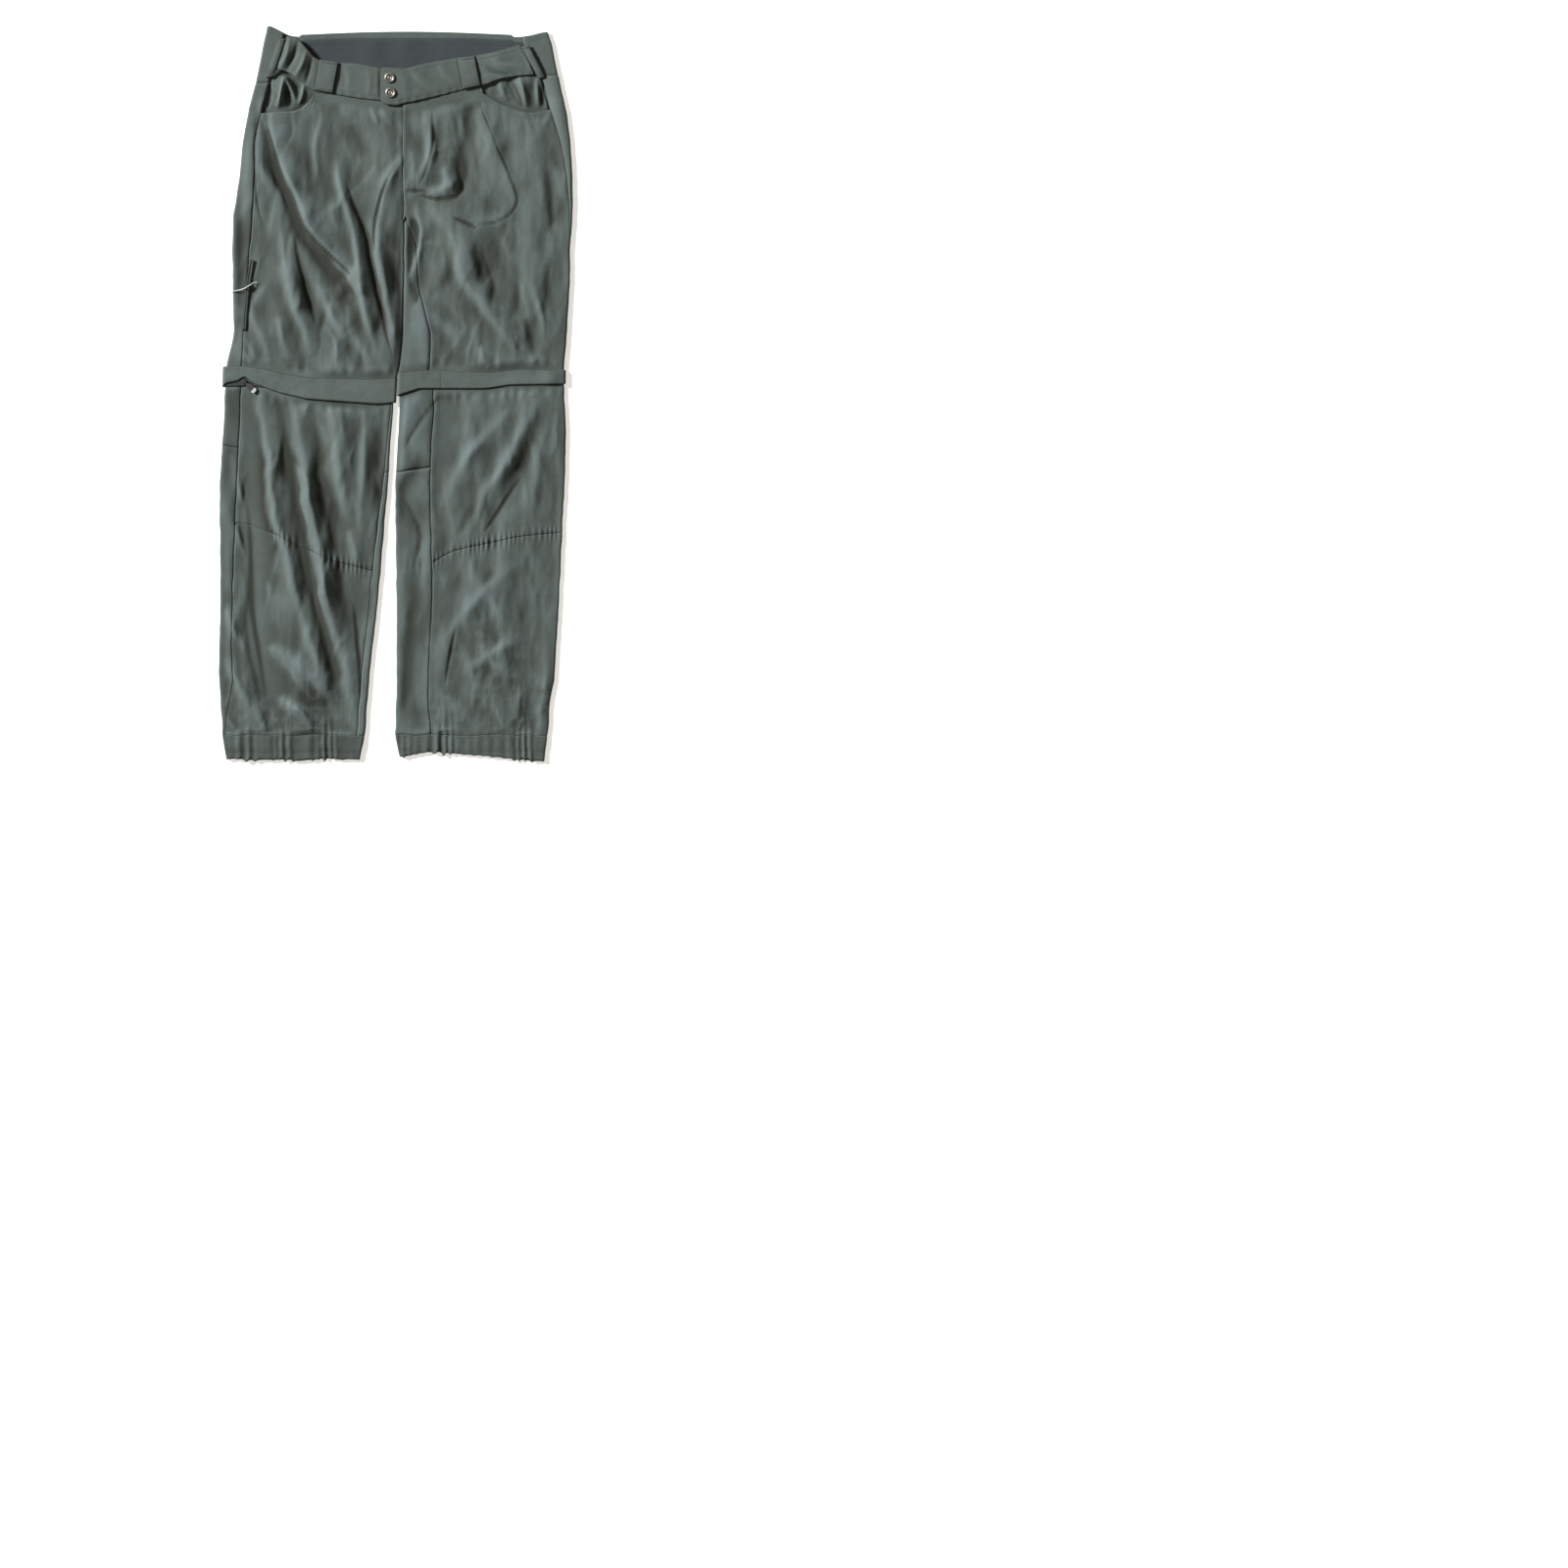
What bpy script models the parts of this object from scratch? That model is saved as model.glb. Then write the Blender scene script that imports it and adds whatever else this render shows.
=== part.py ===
"""Convertible zip-off hiking trousers, laid flat on their back.

Blender 4.5, metres, +Z up. The origin is the middle of the underside, +Y points to the waist,
and +X is the wearer's left. The tables are in millimetres, and every point becomes metres as
its mesh is made. "right" and "left" are the wearer's own sides.
"""

import math
from collections import namedtuple

import bmesh
import bpy
import numpy as np
from mathutils import Matrix, Vector
from mathutils.bvhtree import BVHTree

# Driving sizes, in millimetres
MM = 0.001
CLOTH = 1.2  # one layer of nylon, with its seam allowances
BAND = 2.0  # the waistband, which is folded over itself
GAP = 0.3  # between two pieces at a seam, or one on the other
LOOSE = 0.45  # where two edges with different points meet
THIGH_HEIGHT = 6.2  # the flattened thighs and seat
LOWER_HEIGHT = 5.4  # the flattened lower legs
FLAP_HEIGHT = 7.7  # the flap rings round the knee zips
TAPE = 5.0  # half the height of a knee zip's tape
UNDER_ZIP = CLOTH + GAP  # the underside of a knee zip, on the cloth below it
CROTCH = 246.0  # where the two legs meet
KNEE = 11.0  # the middle of both knee flaps
HEM_SEAM = -484.0  # where the hem bands are sewn on
FADE = 15.0  # the folds die away this far from an edge
DEEPEST = 2.5  # the furthest that a valley sinks, so that the layers stay apart
TIP_LIFT = 1.0  # the softness of the top layer over the layers below
ARC_CELLS = 5  # the steps round an edge
ROW_CELL = 26.0  # the spacing of points along the legs
EASE, SNUG = 5.0, 0.8  # how close to a seam the two ends of an edge may come
SNAP_RADIUS = 7.5
CORD_RADIUS = 0.65
SLIDER_HEIGHT = 2.2
POCKET_SLIDER_SIZE = (5.0, 8.0, SLIDER_HEIGHT)
KNEE_SLIDER_SIZE = (6.4, 6.0, SLIDER_HEIGHT)
HIDDEN_SLIDER_SIZE = (8.0, 6.0, 1.8)  # the left knee's slider, under the flap
PULL_LENGTH, PULL_WIDTH, PULL_THICK = 20.0, 8.0, 1.4
PULL_SLOPE = math.radians(9)  # the pull tab leans down on the leg
PIN_LIFT = 2.4  # the height of the pull tab's pin over its slider
PIN_RADIUS = 0.55
EYE_RADIUS = 0.95  # the hole that turns on the pin
EYE_REACH = 1.45  # the pull tab's end past the middle of its pin
EAR_SIZE = (1.1, 2.6, PIN_LIFT + 1.4)  # each of the two ears that hold the pin
EAR_APART = 4.9

# A leg's outline: the outer and inner edge at each height, and how far inboard the outseam and
# the inseam lie on the front. UNDER puts a seam just round the edge, on the underside. Where
# "joined" is 1 the two legs are one body, and the inner edge is the line of the fly.
Section = namedtuple("Section", "y outer inner out_seam in_seam joined", defaults=(0, 0, 0))
UNDER = -1.0
JOIN = 8.0  # how far a joined section runs on past the line of the fly
THIGH_RIGHT = (
    Section(452, -197, 10.1, 19, JOIN, 1),
    Section(441, -198.4, 10.1, 19, JOIN, 1),
    Section(402, -208.8, 10.8, 19, JOIN, 1),
    Section(357, -217.2, 10.1, 17, JOIN, 1),
    Section(311, -220.7, 10.8, 22, JOIN, 1),
    Section(253, -230.4, 12.2, 28, JOIN, 1),
    Section(250, -230.5, 12.1, 28, 2.6, 0.5),
    Section(248.4, -230.5, 12.0, 28, 0, 0.2),
    Section(246, -230.6, 12.0, 28, UNDER, 0),
    Section(211, -231.8, 10.8, 26, UNDER, 0),
    Section(154, -231.1, 10.1, 20, UNDER, 0),
    Section(86, -229.3, 9.4, 14, UNDER, 0),
    Section(44, -239.3, 4.5, 22, UNDER, 0),
    Section(16, -242.4, -2.4, 23.7, UNDER, 0),
)
THIGH_LEFT = (
    Section(452, 230, 10.1, 25, JOIN, 1),
    Section(441, 233, 10.1, 23, JOIN, 1),
    Section(402, 242.2, 10.8, 22, JOIN, 1),
    Section(357, 247.8, 10.1, 14, JOIN, 1),
    Section(311, 251.2, 10.8, 8, JOIN, 1),
    Section(253, 251.0, 12.2, 4, JOIN, 1),
    Section(246, 250.8, 14.9, 3.5, 4, 0),
    Section(211, 247.5, 16.3, UNDER, 17, 0),
    Section(154, 247.1, 14.2, UNDER, 21, 0),
    Section(86, 242.9, 12.9, UNDER, 40, 0),
    Section(44, 239.2, 11.5, UNDER, 43, 0),
    Section(16, 238.3, 6.2, UNDER, 46, 0),
)
LOWER_RIGHT = (
    Section(24, -242.4, -2.0, 23.6, 3.2, 0),
    Section(-22, -242.8, -3.4, 23, 3.2, 0),
    Section(-60, -245.1, -6.6, 23.8, 4, 0),
    Section(-126.5, -249.9, -10.8, 25, 7, 0),
    Section(-275, -248.5, -23.3, 18, 12, 0),
    Section(-352, -249.9, -31.6, 18, 11, 0),
    Section(-403, -250.7, -37.2, 21, 11, 0),
    Section(-464, -246.4, -42, 7, 11, 0),
    Section(-484, -245.7, -43, 5, 11, 0),
    Section(-521, -240.1, -52, 4.5, 11, 0),
)
LOWER_LEFT = (
    Section(24, 238.0, 6.2, UNDER, 46, 0),
    Section(-22, 240.2, 5.2, UNDER, 50, 0),
    Section(-60, 241.8, 3.6, UNDER, 48.4, 0),
    Section(-126.5, 239.4, -1, UNDER, 50, 0),
    Section(-275, 232.5, 1, UNDER, 52, 0),
    Section(-352, 228.3, 1.3, UNDER, 48, 0),
    Section(-403, 225.5, 1.3, UNDER, 46, 0),
    Section(-431, 219.3, 0.8, UNDER, 46, 0),
    Section(-484, 215.8, -0.8, UNDER, 52, 0),
    Section(-521, 210.2, 6.3, UNDER, 45, 0),
)
FLAP_RIGHT = (
    Section(40, -245.2, 2.0),
    Section(22, -245.6, 1.9),
    Section(0, -246.0, 0.7),
    Section(-16, -246.0, -0.2),
)
FLAP_LEFT = (
    Section(38, 241.8, 3.4),
    Section(14, 241.4, 2.9),
    Section(-5, 241.2, 2.6),
)
WAIST = (  # the whole waist: outer is the wearer's right edge and inner the left
    Section(522, -181.5, 214.0),
    Section(511, -184.0, 215.8),
    Section(498, -187.3, 221.4),
    Section(475, -191.5, 225.5),
    Section(448, -197.0, 231.1),
    Section(438, -199.2, 233.7),
)

# Edges and seams, as points across the garment from the wearer's right to left (x, y)
POCKET_EDGE_RIGHT = ((-192, 397.5), (-162.3, 399.2), (-141.4, 400.9), (-131.7, 405.9), (-122, 414.2),
                     (-116.4, 425.3))
POCKET_EDGE_LEFT = ((122.7, 427.1), (135.6, 419.8), (154.2, 408.7), (172.7, 401.3), (189.4, 397.5),
                    (221, 403))
WAIST_SEAM = ((-116.4, 429.5), (-84.4, 424), (-49.7, 418.4), (-23.3, 415.6), (12, 411.5),
              (33.7, 415.6), (64.3, 422.6), (93.5, 430.2), (122.7, 436.5))
BACK_SEAM = ((-200, 440.6), (232, 451.8))
FLAP_TOP_RIGHT = ((-244.3, 38.6), (-216.5, 39.2), (-183.3, 34.8), (-158, 28.9), (-120.6, 22.2),
                  (-24.7, 20.9), (4, 22.2))
FLAP_TOP_LEFT = ((4.2, 30.6), (55.4, 33.9), (113, 30.6), (138, 29.6), (172.4, 33.9), (239.4, 33.5))
FLAP_LOW_RIGHT = ((-246, 9.7), (-240.5, 14.5), (-228.6, 17.5), (-221.4, 19), (-218, 22.8), (-213, 24.2),
                  (-208, 20.6), (-201.3, 15), (-180.4, 7), (-163, 1), (-124.8, -7.6), (-24.7, -15),
                  (2, -12.9))
FLAP_LOW_LEFT = ((3, -3.3), (34, 7.4), (97.6, 7), (129.6, 7.4), (161.6, 12.5), (240, 13.9))
ZIP_RIGHT = ((-242, 14.5), (-214, 16.4), (-163.7, 11.5), (-124.8, 7), (-77.5, 4.2), (1, 2.8))
ZIP_LEFT = ((4.5, 12.5), (61.5, 19), (129.6, 19.5), (193.6, 23.3), (239.4, 23.3))
KNEE_SEAM_RIGHT = ((-230, -181), (-201, -186), (-166, -202), (-108, -229), (-78, -240), (-32, -252))
KNEE_SEAM_LEFT = ((3, -240), (22, -244), (53, -240), (76, -225), (107, -217), (180, -202), (234, -197))
BACK_KNEE_RIGHT = ((-250, -72), (-15, -112))
BACK_KNEE_LEFT = ((0, -112), (242, -74))
HEM_RIGHT = ((-241, -517), (-210, -520), (-170, -518.5), (-129, -520.5), (-100, -517.5), (-51, -518.5))
HEM_LEFT = ((5, -515), (38, -508), (60, -509), (134, -514), (190, -520.5), (212, -521))

# A fold: how high it stands (a valley is below 0), half its width, and the line it follows
Fold = namedtuple("Fold", "height width line")
FOLDS = (
    Fold(8.5, 13, ((-173, 378), (-145, 288), (-120, 235), (-91, 199), (-58, 154))),
    Fold(-3, 11, ((-182, 374), (-166, 317), (-152, 267), (-130, 224), (-105, 192), (-70, 164))),
    Fold(4.5, 11, ((-191, 350), (-189, 303), (-172, 274))),
    Fold(6, 12, ((-160, 245), (-153, 189), (-143, 139), (-127, 85))),
    Fold(-2.5, 11, ((-141, 210), (-123, 139), (-113, 110))),
    Fold(5, 11, ((-102, 153), (-88, 110), (-70, 81))),
    Fold(7, 11, ((-80, 317), (-63, 253), (-52, 192), (-45, 125), (-27, 62))),
    Fold(-2.5, 10, ((-66, 280), (-48, 245), (-34, 202), (-25, 139), (-10, 84))),
    Fold(7, 13, ((-18, 275), (-20, 228), (-16, 166), (-8, 110), (-2, 80))),
    Fold(4, 11, ((8, 343), (-9, 302), (-30, 281))),
    Fold(3.5, 11, ((-37, 395), (-20, 372))),
    Fold(8, 13, ((52, 256), (80, 228), (94, 181), (116, 146), (141, 110), (166, 75))),
    Fold(-2.5, 12, ((116, 210), (123, 174), (150, 121))),
    Fold(-2.5, 12, ((69, 210), (74, 174), (60, 139))),
    Fold(5, 11, ((46, 395), (48, 353), (41, 317), (23, 285))),
    Fold(6.5, 14, ((66, 306), (85, 292), (58, 283))),
    Fold(-2.5, 11, ((93, 340), (96, 290))),
    Fold(3.5, 14, ((127, 405), (143, 370), (157, 335), (172, 288), (160, 257), (128, 248), (104, 258))),
    Fold(4.5, 10, ((36, 250), (38, 221), (34, 190))),
    Fold(-2.5, 11, ((184, 103), (197, 66))),
    Fold(3, 12, ((60, 112), (94, 78))),
    Fold(-2.5, 14, ((-206, -30), (-205, -109), (-207, -225), (-204, -340), (-193, -440))),
    Fold(6, 13, ((-191, -40), (-180, -90), (-170, -171), (-155, -225), (-136, -302), (-95, -410))),
    Fold(-2.5, 11, ((-164, -40), (-151, -109), (-136, -186), (-126, -244), (-101, -340), (-82, -420))),
    Fold(6, 12, ((-136, -51), (-124, -129), (-108, -206), (-97, -282), (-73, -378), (-66, -440))),
    Fold(-2.5, 11, ((-112, -51), (-107, -109), (-96, -171), (-82, -232), (-72, -282))),
    Fold(5, 16, ((-82, -45), (-78, -109), (-66, -171))),
    Fold(-2.5, 12, ((-22, -40), (-22, -109))),
    Fold(4.5, 12, ((-180, -365), (-136, -378), (-100, -412))),
    Fold(3.5, 11, ((-159, -436), (-118, -455))),
    Fold(-2.5, 12, ((215, -30), (191, -71), (160, -129), (141, -180))),
    Fold(-2.5, 11, ((103, -40), (76, -71), (66, -101), (62, -147), (64, -194))),
    Fold(6, 12, ((158, -42), (107, -90), (86, -129), (74, -163))),
    Fold(6.5, 13, ((193, -38), (161, -94), (130, -140), (107, -190))),
    Fold(4.5, 11, ((30, -36), (16, -56), (14, -110))),
    Fold(-2.5, 11, ((30, -72), (18, -130), (28, -190))),
    Fold(5, 13, ((185, -232), (122, -290), (80, -340), (66, -385))),
    Fold(4, 12, ((150, -345), (118, -372), (88, -405))),
    Fold(3.5, 11, ((184, -385), (150, -425))),
    Fold(-2.5, 11, ((30, -282), (24, -340), (18, -417))),
    Fold(4, 11, ((76, -434), (108, -455))),
)

# The front waistband: its upper and lower edge in steps, and how far it lifts off the layer below
BandRow = namedtuple("BandRow", "top_x top_y low_x low_y lift")
WAISTBAND_RIGHT = (
    BandRow(9.7, 460.1, 9.7, 412.0, 0),
    BandRow(-21.9, 462.2, -23.3, 415.6, 0),
    BandRow(-56.6, 468.4, -49.7, 418.4, 0),
    BandRow(-81.7, 469.8, -84.4, 424, 0),
    BandRow(-109.5, 474.0, -116.4, 429.5, 1),
    BandRow(-123.4, 487.0, -136.0, 443.5, 3.5),
    BandRow(-138.7, 503.0, -153.9, 456.0, 4.5),
    BandRow(-154.0, 507.5, -171.5, 459.5, 1.5),
)
WAISTBAND_LEFT = (
    BandRow(-19.8, 463.6, -19.8, 413.8, 0.4),
    BandRow(-5.2, 462.2, -5.2, 411.4, 0.4),
    BandRow(14.5, 461.2, 14.5, 411.5, 0.4),
    BandRow(33.7, 466.3, 33.7, 415.6, 0.5),
    BandRow(57.3, 471.2, 64.3, 422.6, 0),
    BandRow(86.5, 476.1, 93.5, 430.2, 0),
    BandRow(114.3, 479.6, 122.7, 436.5, 0.5),
    BandRow(147.7, 486.5, 154.0, 447.5, 2),
    BandRow(178.5, 495.5, 197.5, 452.5, 0.5),
)

# The slits where the back waistband ends on the front, with a side belt loop over each
SLIT_RIGHT = ((-158.4, 506.0), (-176.2, 458.7), (-180.4, 438.0))
SLIT_LEFT = ((181.5, 497.0), (204.7, 449.0), (209.5, 438.0))

# A belt loop: the corners of its upper end and of its lower end, from the right to the left
Loop = namedtuple("Loop", "top_right top_left low_right low_left bow")
FRONT_LOOPS = {
    "right": Loop((-107.5, 473.5), (-80.5, 469.5), (-114.5, 431.0), (-88.5, 426.0), 1.6),
    "left": Loop((87.0, 476.0), (112.5, 478.6), (96.0, 431.5), (121.0, 437.0), 1.6),
}
SIDE_LOOPS = {
    "right": Loop((-166.5, 501.0), (-155.5, 503.5), (-184.0, 448.0), (-173.5, 448.5), 0.8),
    "left": Loop((178.0, 492.0), (189.0, 494.0), (203.0, 446.0), (212.5, 448.5), 0.8),
}

SNAPS = {"upper": (-8.0, 447.5), "lower": (-6.6, 426.5)}
POCKET_ZIP = ((-203.2, 190), (-208.6, 156), (-210.9, 139), (-214.4, 90))  # its middle, along the outseam
POCKET_SLIDER = (-209.2, 151.5)
CORD_ROUTE = (  # from the frayed end, over the slider and off the edge of the leg (x, y, height)
    (-196.4, 157.4, 0), (-200.4, 157.6, 0), (-204.0, 155.0, 0), (-209.2, 151.6, 0), (-214.5, 149.0, 0),
    (-220.0, 147.2, 0), (-226.0, 146.0, 0), (-230.6, 145.2, 7.6), (-234.8, 146.3, 3.0),
    (-238.0, 148.2, 1.2), (-241.4, 150.2, 0.9),
)
KNEE_SLIDER_RIGHT = (-214.0, 16.4)
KNEE_SLIDER_LEFT = (222.0, 23.3)
PULL_WAY = (0.744, -0.668)  # the way that the pull tab points, from its pin

COLOURS = {  # linear red, green and blue, with the roughness and the metallic value
    "nylon": ((0.115, 0.140, 0.130), 0.62, 0.0),
    "facing": ((0.058, 0.068, 0.075), 0.70, 0.0),
    "tape": ((0.050, 0.055, 0.050), 0.75, 0.0),
    "snap_metal": ((0.42, 0.40, 0.37), 0.32, 1.0),
    "dark_metal": ((0.060, 0.055, 0.050), 0.40, 0.8),
    "pull_rubber": ((0.045, 0.032, 0.028), 0.55, 0.0),
    "cord": ((0.33, 0.36, 0.32), 0.80, 0.0),
}


def smooth(value):
    """0 to 1 in an easy curve, as value goes from 0 to 1."""
    value = np.clip(value, 0, 1)
    return value * value * (3 - 2 * value)


def line(points, ease=8.0):
    """The height of an edge or seam at x, with its corners rounded over twice `ease`."""
    xs, ys = np.array(points, float).T

    def height(x):
        x = np.asarray(x, float)
        return (np.interp(x - ease, xs, ys) + 2 * np.interp(x, xs, ys) + np.interp(x + ease, xs, ys)) / 4

    return height


def straight(points):
    return line(points, 0.0)


class Tube:
    """A flattened tube of cloth. Each of its sections is a slot shape that lies on `floor`.

    A place on a section is s, in millimetres along its outside from the middle of the outer
    edge: above 0 over the front, below 0 round the underside.
    """

    def __init__(self, sections, height, floor=0.0):
        rows = sorted(sections)
        self.y = [row.y for row in rows]
        self.column = {name: [getattr(row, name) for row in rows] for name in Section._fields}
        self.height, self.floor, self.radius = height, floor, height / 2
        self.way = math.copysign(1, rows[0].inner - rows[0].outer)
        self.quarter = math.pi * self.radius / 2

    def at(self, name, y):
        return np.interp(y, self.y, self.column[name])

    def past_fly(self, y):
        return JOIN * self.at("joined", y) ** 2

    def width(self, y):
        return abs(self.at("inner", y) - self.at("outer", y)) + self.past_fly(y)

    def half(self, y):
        """s at the middle of the inner edge."""
        return 2 * self.quarter + self.width(y) - self.height

    def inboard(self, inset):
        """How far round the outside a seam lies from the middle of the edge."""
        inset = np.asarray(inset, float)
        on_arc = self.radius * (math.pi / 2 - np.arcsin(np.clip(1 - inset / self.radius, -1, 1)))
        on_top = self.quarter + inset - self.radius
        on_front = np.where(inset < self.radius, on_arc, on_top)
        return np.where(inset < 0, inset * (self.quarter + 1), on_front)

    def place(self, y, s):
        """Points (x, y, z) and outward directions on the outside."""
        half = self.half(y)
        s = (s + half) % (2 * half) - half
        run, flat, r = np.abs(s), self.width(y) - self.height, self.radius
        outer = np.clip(run / r, 0, math.pi / 2)
        inner = np.clip((run - self.quarter - flat) / r, 0, math.pi / 2)
        across = r - r * np.cos(outer) + np.clip(run - self.quarter, 0, flat) + r * np.sin(inner)
        rise = np.where(run < self.quarter, np.sin(outer), np.cos(inner))
        side = np.sign(s) + (s == 0)
        x = self.at("outer", y) + self.way * across
        z = self.floor + r + side * r * rise
        sideways = np.where(run < self.quarter, -np.cos(outer), np.sin(inner)) * self.way
        return np.stack([x, y, z], -1), np.stack([sideways, 0 * x, side * rise], -1)


TUBES = {
    "thigh": {"right": Tube(THIGH_RIGHT, THIGH_HEIGHT), "left": Tube(THIGH_LEFT, THIGH_HEIGHT)},
    "lower": {"right": Tube(LOWER_RIGHT, LOWER_HEIGHT), "left": Tube(LOWER_LEFT, LOWER_HEIGHT)},
    "flap": {"right": Tube(FLAP_RIGHT, FLAP_HEIGHT), "left": Tube(FLAP_LEFT, FLAP_HEIGHT)},
    "zip": {
        "right": Tube(LOWER_RIGHT, THIGH_HEIGHT - UNDER_ZIP, UNDER_ZIP),
        "left": Tube(LOWER_LEFT, THIGH_HEIGHT - UNDER_ZIP, UNDER_ZIP),
    },
}
WAIST_TUBE = Tube(WAIST, THIGH_HEIGHT)


def fold_height(x, y):
    """All the folds together: each is a soft bank along its line, lower towards its two ends."""
    total = np.zeros(np.broadcast(x, y).shape)
    for fold in FOLDS:
        points = np.array(fold.line, float)
        lengths = np.linalg.norm(np.diff(points, axis=0), axis=1)
        begins = np.concatenate([[0], np.cumsum(lengths)])
        best, along = np.full(total.shape, 1e9), np.zeros(total.shape)
        for a, b, length, begin in zip(points, points[1:], lengths, begins):
            t = np.clip(((x - a[0]) * (b[0] - a[0]) + (y - a[1]) * (b[1] - a[1])) / length**2, 0, 1)
            away = np.hypot(x - a[0] - t * (b[0] - a[0]), y - a[1] - t * (b[1] - a[1]))
            along = np.where(away < best, begin + t * length, along)
            best = np.minimum(best, away)
        taper = 0.45 + 0.55 * np.sin(math.pi * along / begins[-1])
        total += fold.height * taper * np.exp(-((best / fold.width) ** 2))
    return total


def relief(side, x, y):
    """How far the front layer stands above its flat height, 0 at the edges, waist, knees and hems."""
    upper, lower = TUBES["thigh"][side], TUBES["lower"][side]
    outer = np.where(y > KNEE, upper.at("outer", y), lower.at("outer", y))
    inner = np.where(y > KNEE, upper.at("inner", y), lower.at("inner", y))
    from_outer = (x - outer) * upper.way
    from_inner = (inner - x) * upper.way + np.clip(y - CROTCH, 0, None)
    calm = smooth(from_outer / FADE) * smooth(from_inner / FADE)
    calm = calm * smooth((np.abs(y - KNEE) - 36) / 22) * smooth((y - HEM_SEAM) / 25)
    calm = calm * smooth((424 - 0.05 * np.abs(x) - y) / 26)
    return calm * np.maximum(fold_height(x, y) + TIP_LIFT, -DEEPEST)


def fly_lift(side, x, y):
    """The fly's edge on the wearer's left lies over the right side, down to the end of the fly."""
    if side == "right":
        return 0.0 * x
    from_fly = x - TUBES["thigh"]["left"].at("inner", y)
    return 1.5 * smooth(1 - from_fly / 30) * smooth((y - 286) / 24)


def collection_of(name):
    collection = bpy.data.collections.new(name)
    bpy.context.scene.collection.children.link(collection)
    return collection


def clear_scene():
    for thing in list(bpy.data.objects):
        bpy.data.objects.remove(thing, do_unlink=True)


def make_materials():
    made = {}
    for name, (colour, roughness, metallic) in COLOURS.items():
        material = bpy.data.materials.new(name)
        material.use_nodes = True
        shader = material.node_tree.nodes["Principled BSDF"]
        shader.inputs["Base Color"].default_value = (*colour, 1)
        shader.inputs["Roughness"].default_value = roughness
        shader.inputs["Metallic"].default_value = metallic
        material.diffuse_color = (*colour, 1)
        made[name] = material
    return made


def put(name, mesh, material):
    """A new object with this mesh, shaded smooth but for its sharp edges."""
    thing = bpy.data.objects.new(name, mesh)
    mesh.materials.append(MATERIALS[material])
    TROUSERS.objects.link(thing)
    mesh.shade_smooth()
    mesh.set_sharp_from_angle(angle=math.radians(40))
    return thing


def grid_faces(rows, columns):
    """The quads between the points of a grid whose rows follow one another."""
    corner = np.arange(rows - 1)[:, None] * columns + np.arange(columns - 1)
    return np.stack([corner, corner + 1, corner + columns + 1, corner + columns], -1).reshape(-1, 4)


def folded_faces(points):
    """The triangles between the points of a grid, two a cell.

    Each cell is cut along the diagonal whose ends differ least in height, as a fold lies.
    """
    a, b, c, d = grid_faces(*points.shape[:2]).T
    height = points[..., 2].ravel()
    along = (np.abs(height[a] - height[c]) <= np.abs(height[b] - height[d]))[:, None]
    one = np.where(along, np.stack([a, b, c], -1), np.stack([a, b, d], -1))
    other = np.where(along, np.stack([a, c, d], -1), np.stack([b, c, d], -1))
    return np.concatenate([one, other])


def wall(name, outside, inside, material, ring=False):
    """A cloth wall: a loft through unlike sections, outside and inside, closed at its rims.

    Both are grids of points (row, column, xyz) in millimetres. On a ring the last column is the
    first one again, so only the two rims along the rows are closed. The inside is cut into the
    same triangles as the outside, so that the two never meet in a deep fold.
    """
    rows, columns = outside.shape[:2]
    points = np.concatenate([outside.reshape(-1, 3), inside.reshape(-1, 3)]) * MM
    size = rows * columns
    outer = folded_faces(outside)
    faces = outer.tolist() + (outer[:, ::-1] + size).tolist()
    edges = [np.arange(columns), (rows - 1) * columns + np.arange(columns)[::-1]]
    if not ring:
        edges += [columns * np.arange(rows)[::-1], columns * np.arange(rows) + columns - 1]
    for edge in edges:
        faces += np.stack([edge[1:], edge[:-1], edge[:-1] + size, edge[1:] + size], -1).tolist()
    mesh = bpy.data.meshes.new(name)
    mesh.from_pydata(points.tolist(), [], faces)
    body = bmesh.new()
    body.from_mesh(mesh)
    if ring:
        bmesh.ops.remove_doubles(body, verts=body.verts, dist=1e-6)
    bmesh.ops.recalc_face_normals(body, faces=body.faces)
    body.to_mesh(mesh)
    body.free()
    return put(name, mesh, material)


def stops_of(tube, start, end, edges, way=1):
    """The lines that a panel's columns run between: its two seams, and both ends of each edge.

    `way` is -1 on a back panel, where s falls from the outseam. An edge that lies past a seam
    gathers beside that seam, so that the columns never cross.
    """
    stops = [start]
    if "outer" in edges:
        stops.append(lambda y: way * np.maximum(-tube.quarter, way * start(y) + SNUG))
        stops.append(lambda y: way * np.maximum(tube.quarter, way * start(y) + EASE))
    if "inner" in edges:
        stops.append(lambda y: way * np.minimum(tube.half(y) - tube.quarter, way * end(y) - EASE))
        stops.append(lambda y: way * np.minimum(tube.half(y) + tube.quarter, way * end(y) - SNUG))
    return stops + [end]


def spread(y, stops, cells):
    """s of every column: even steps between one stop and the next."""
    which = np.repeat(np.arange(len(cells)), cells)
    part = np.concatenate([np.arange(count) / count for count in cells])
    which, part = np.append(which, len(cells) - 1), np.append(part, 1.0)
    at = [stop(y) for stop in stops]
    return sum((a + (b - a) * part) * (which == k) for k, (a, b) in enumerate(zip(at, at[1:])))


def levels_of(top, bottom, between, cell):
    """Rows of heights for each column: an edge, the sections' own heights, and an edge."""
    stops = [top] + [np.full_like(top, y) for y in between] + [bottom]
    rows = [top]
    for high, low in zip(stops, stops[1:]):
        cells = max(1, round(float(np.mean(high - low)) / cell))
        rows += [high + (low - high) * (k + 1) / cells for k in range(cells)]
    return np.stack(rows)


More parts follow.
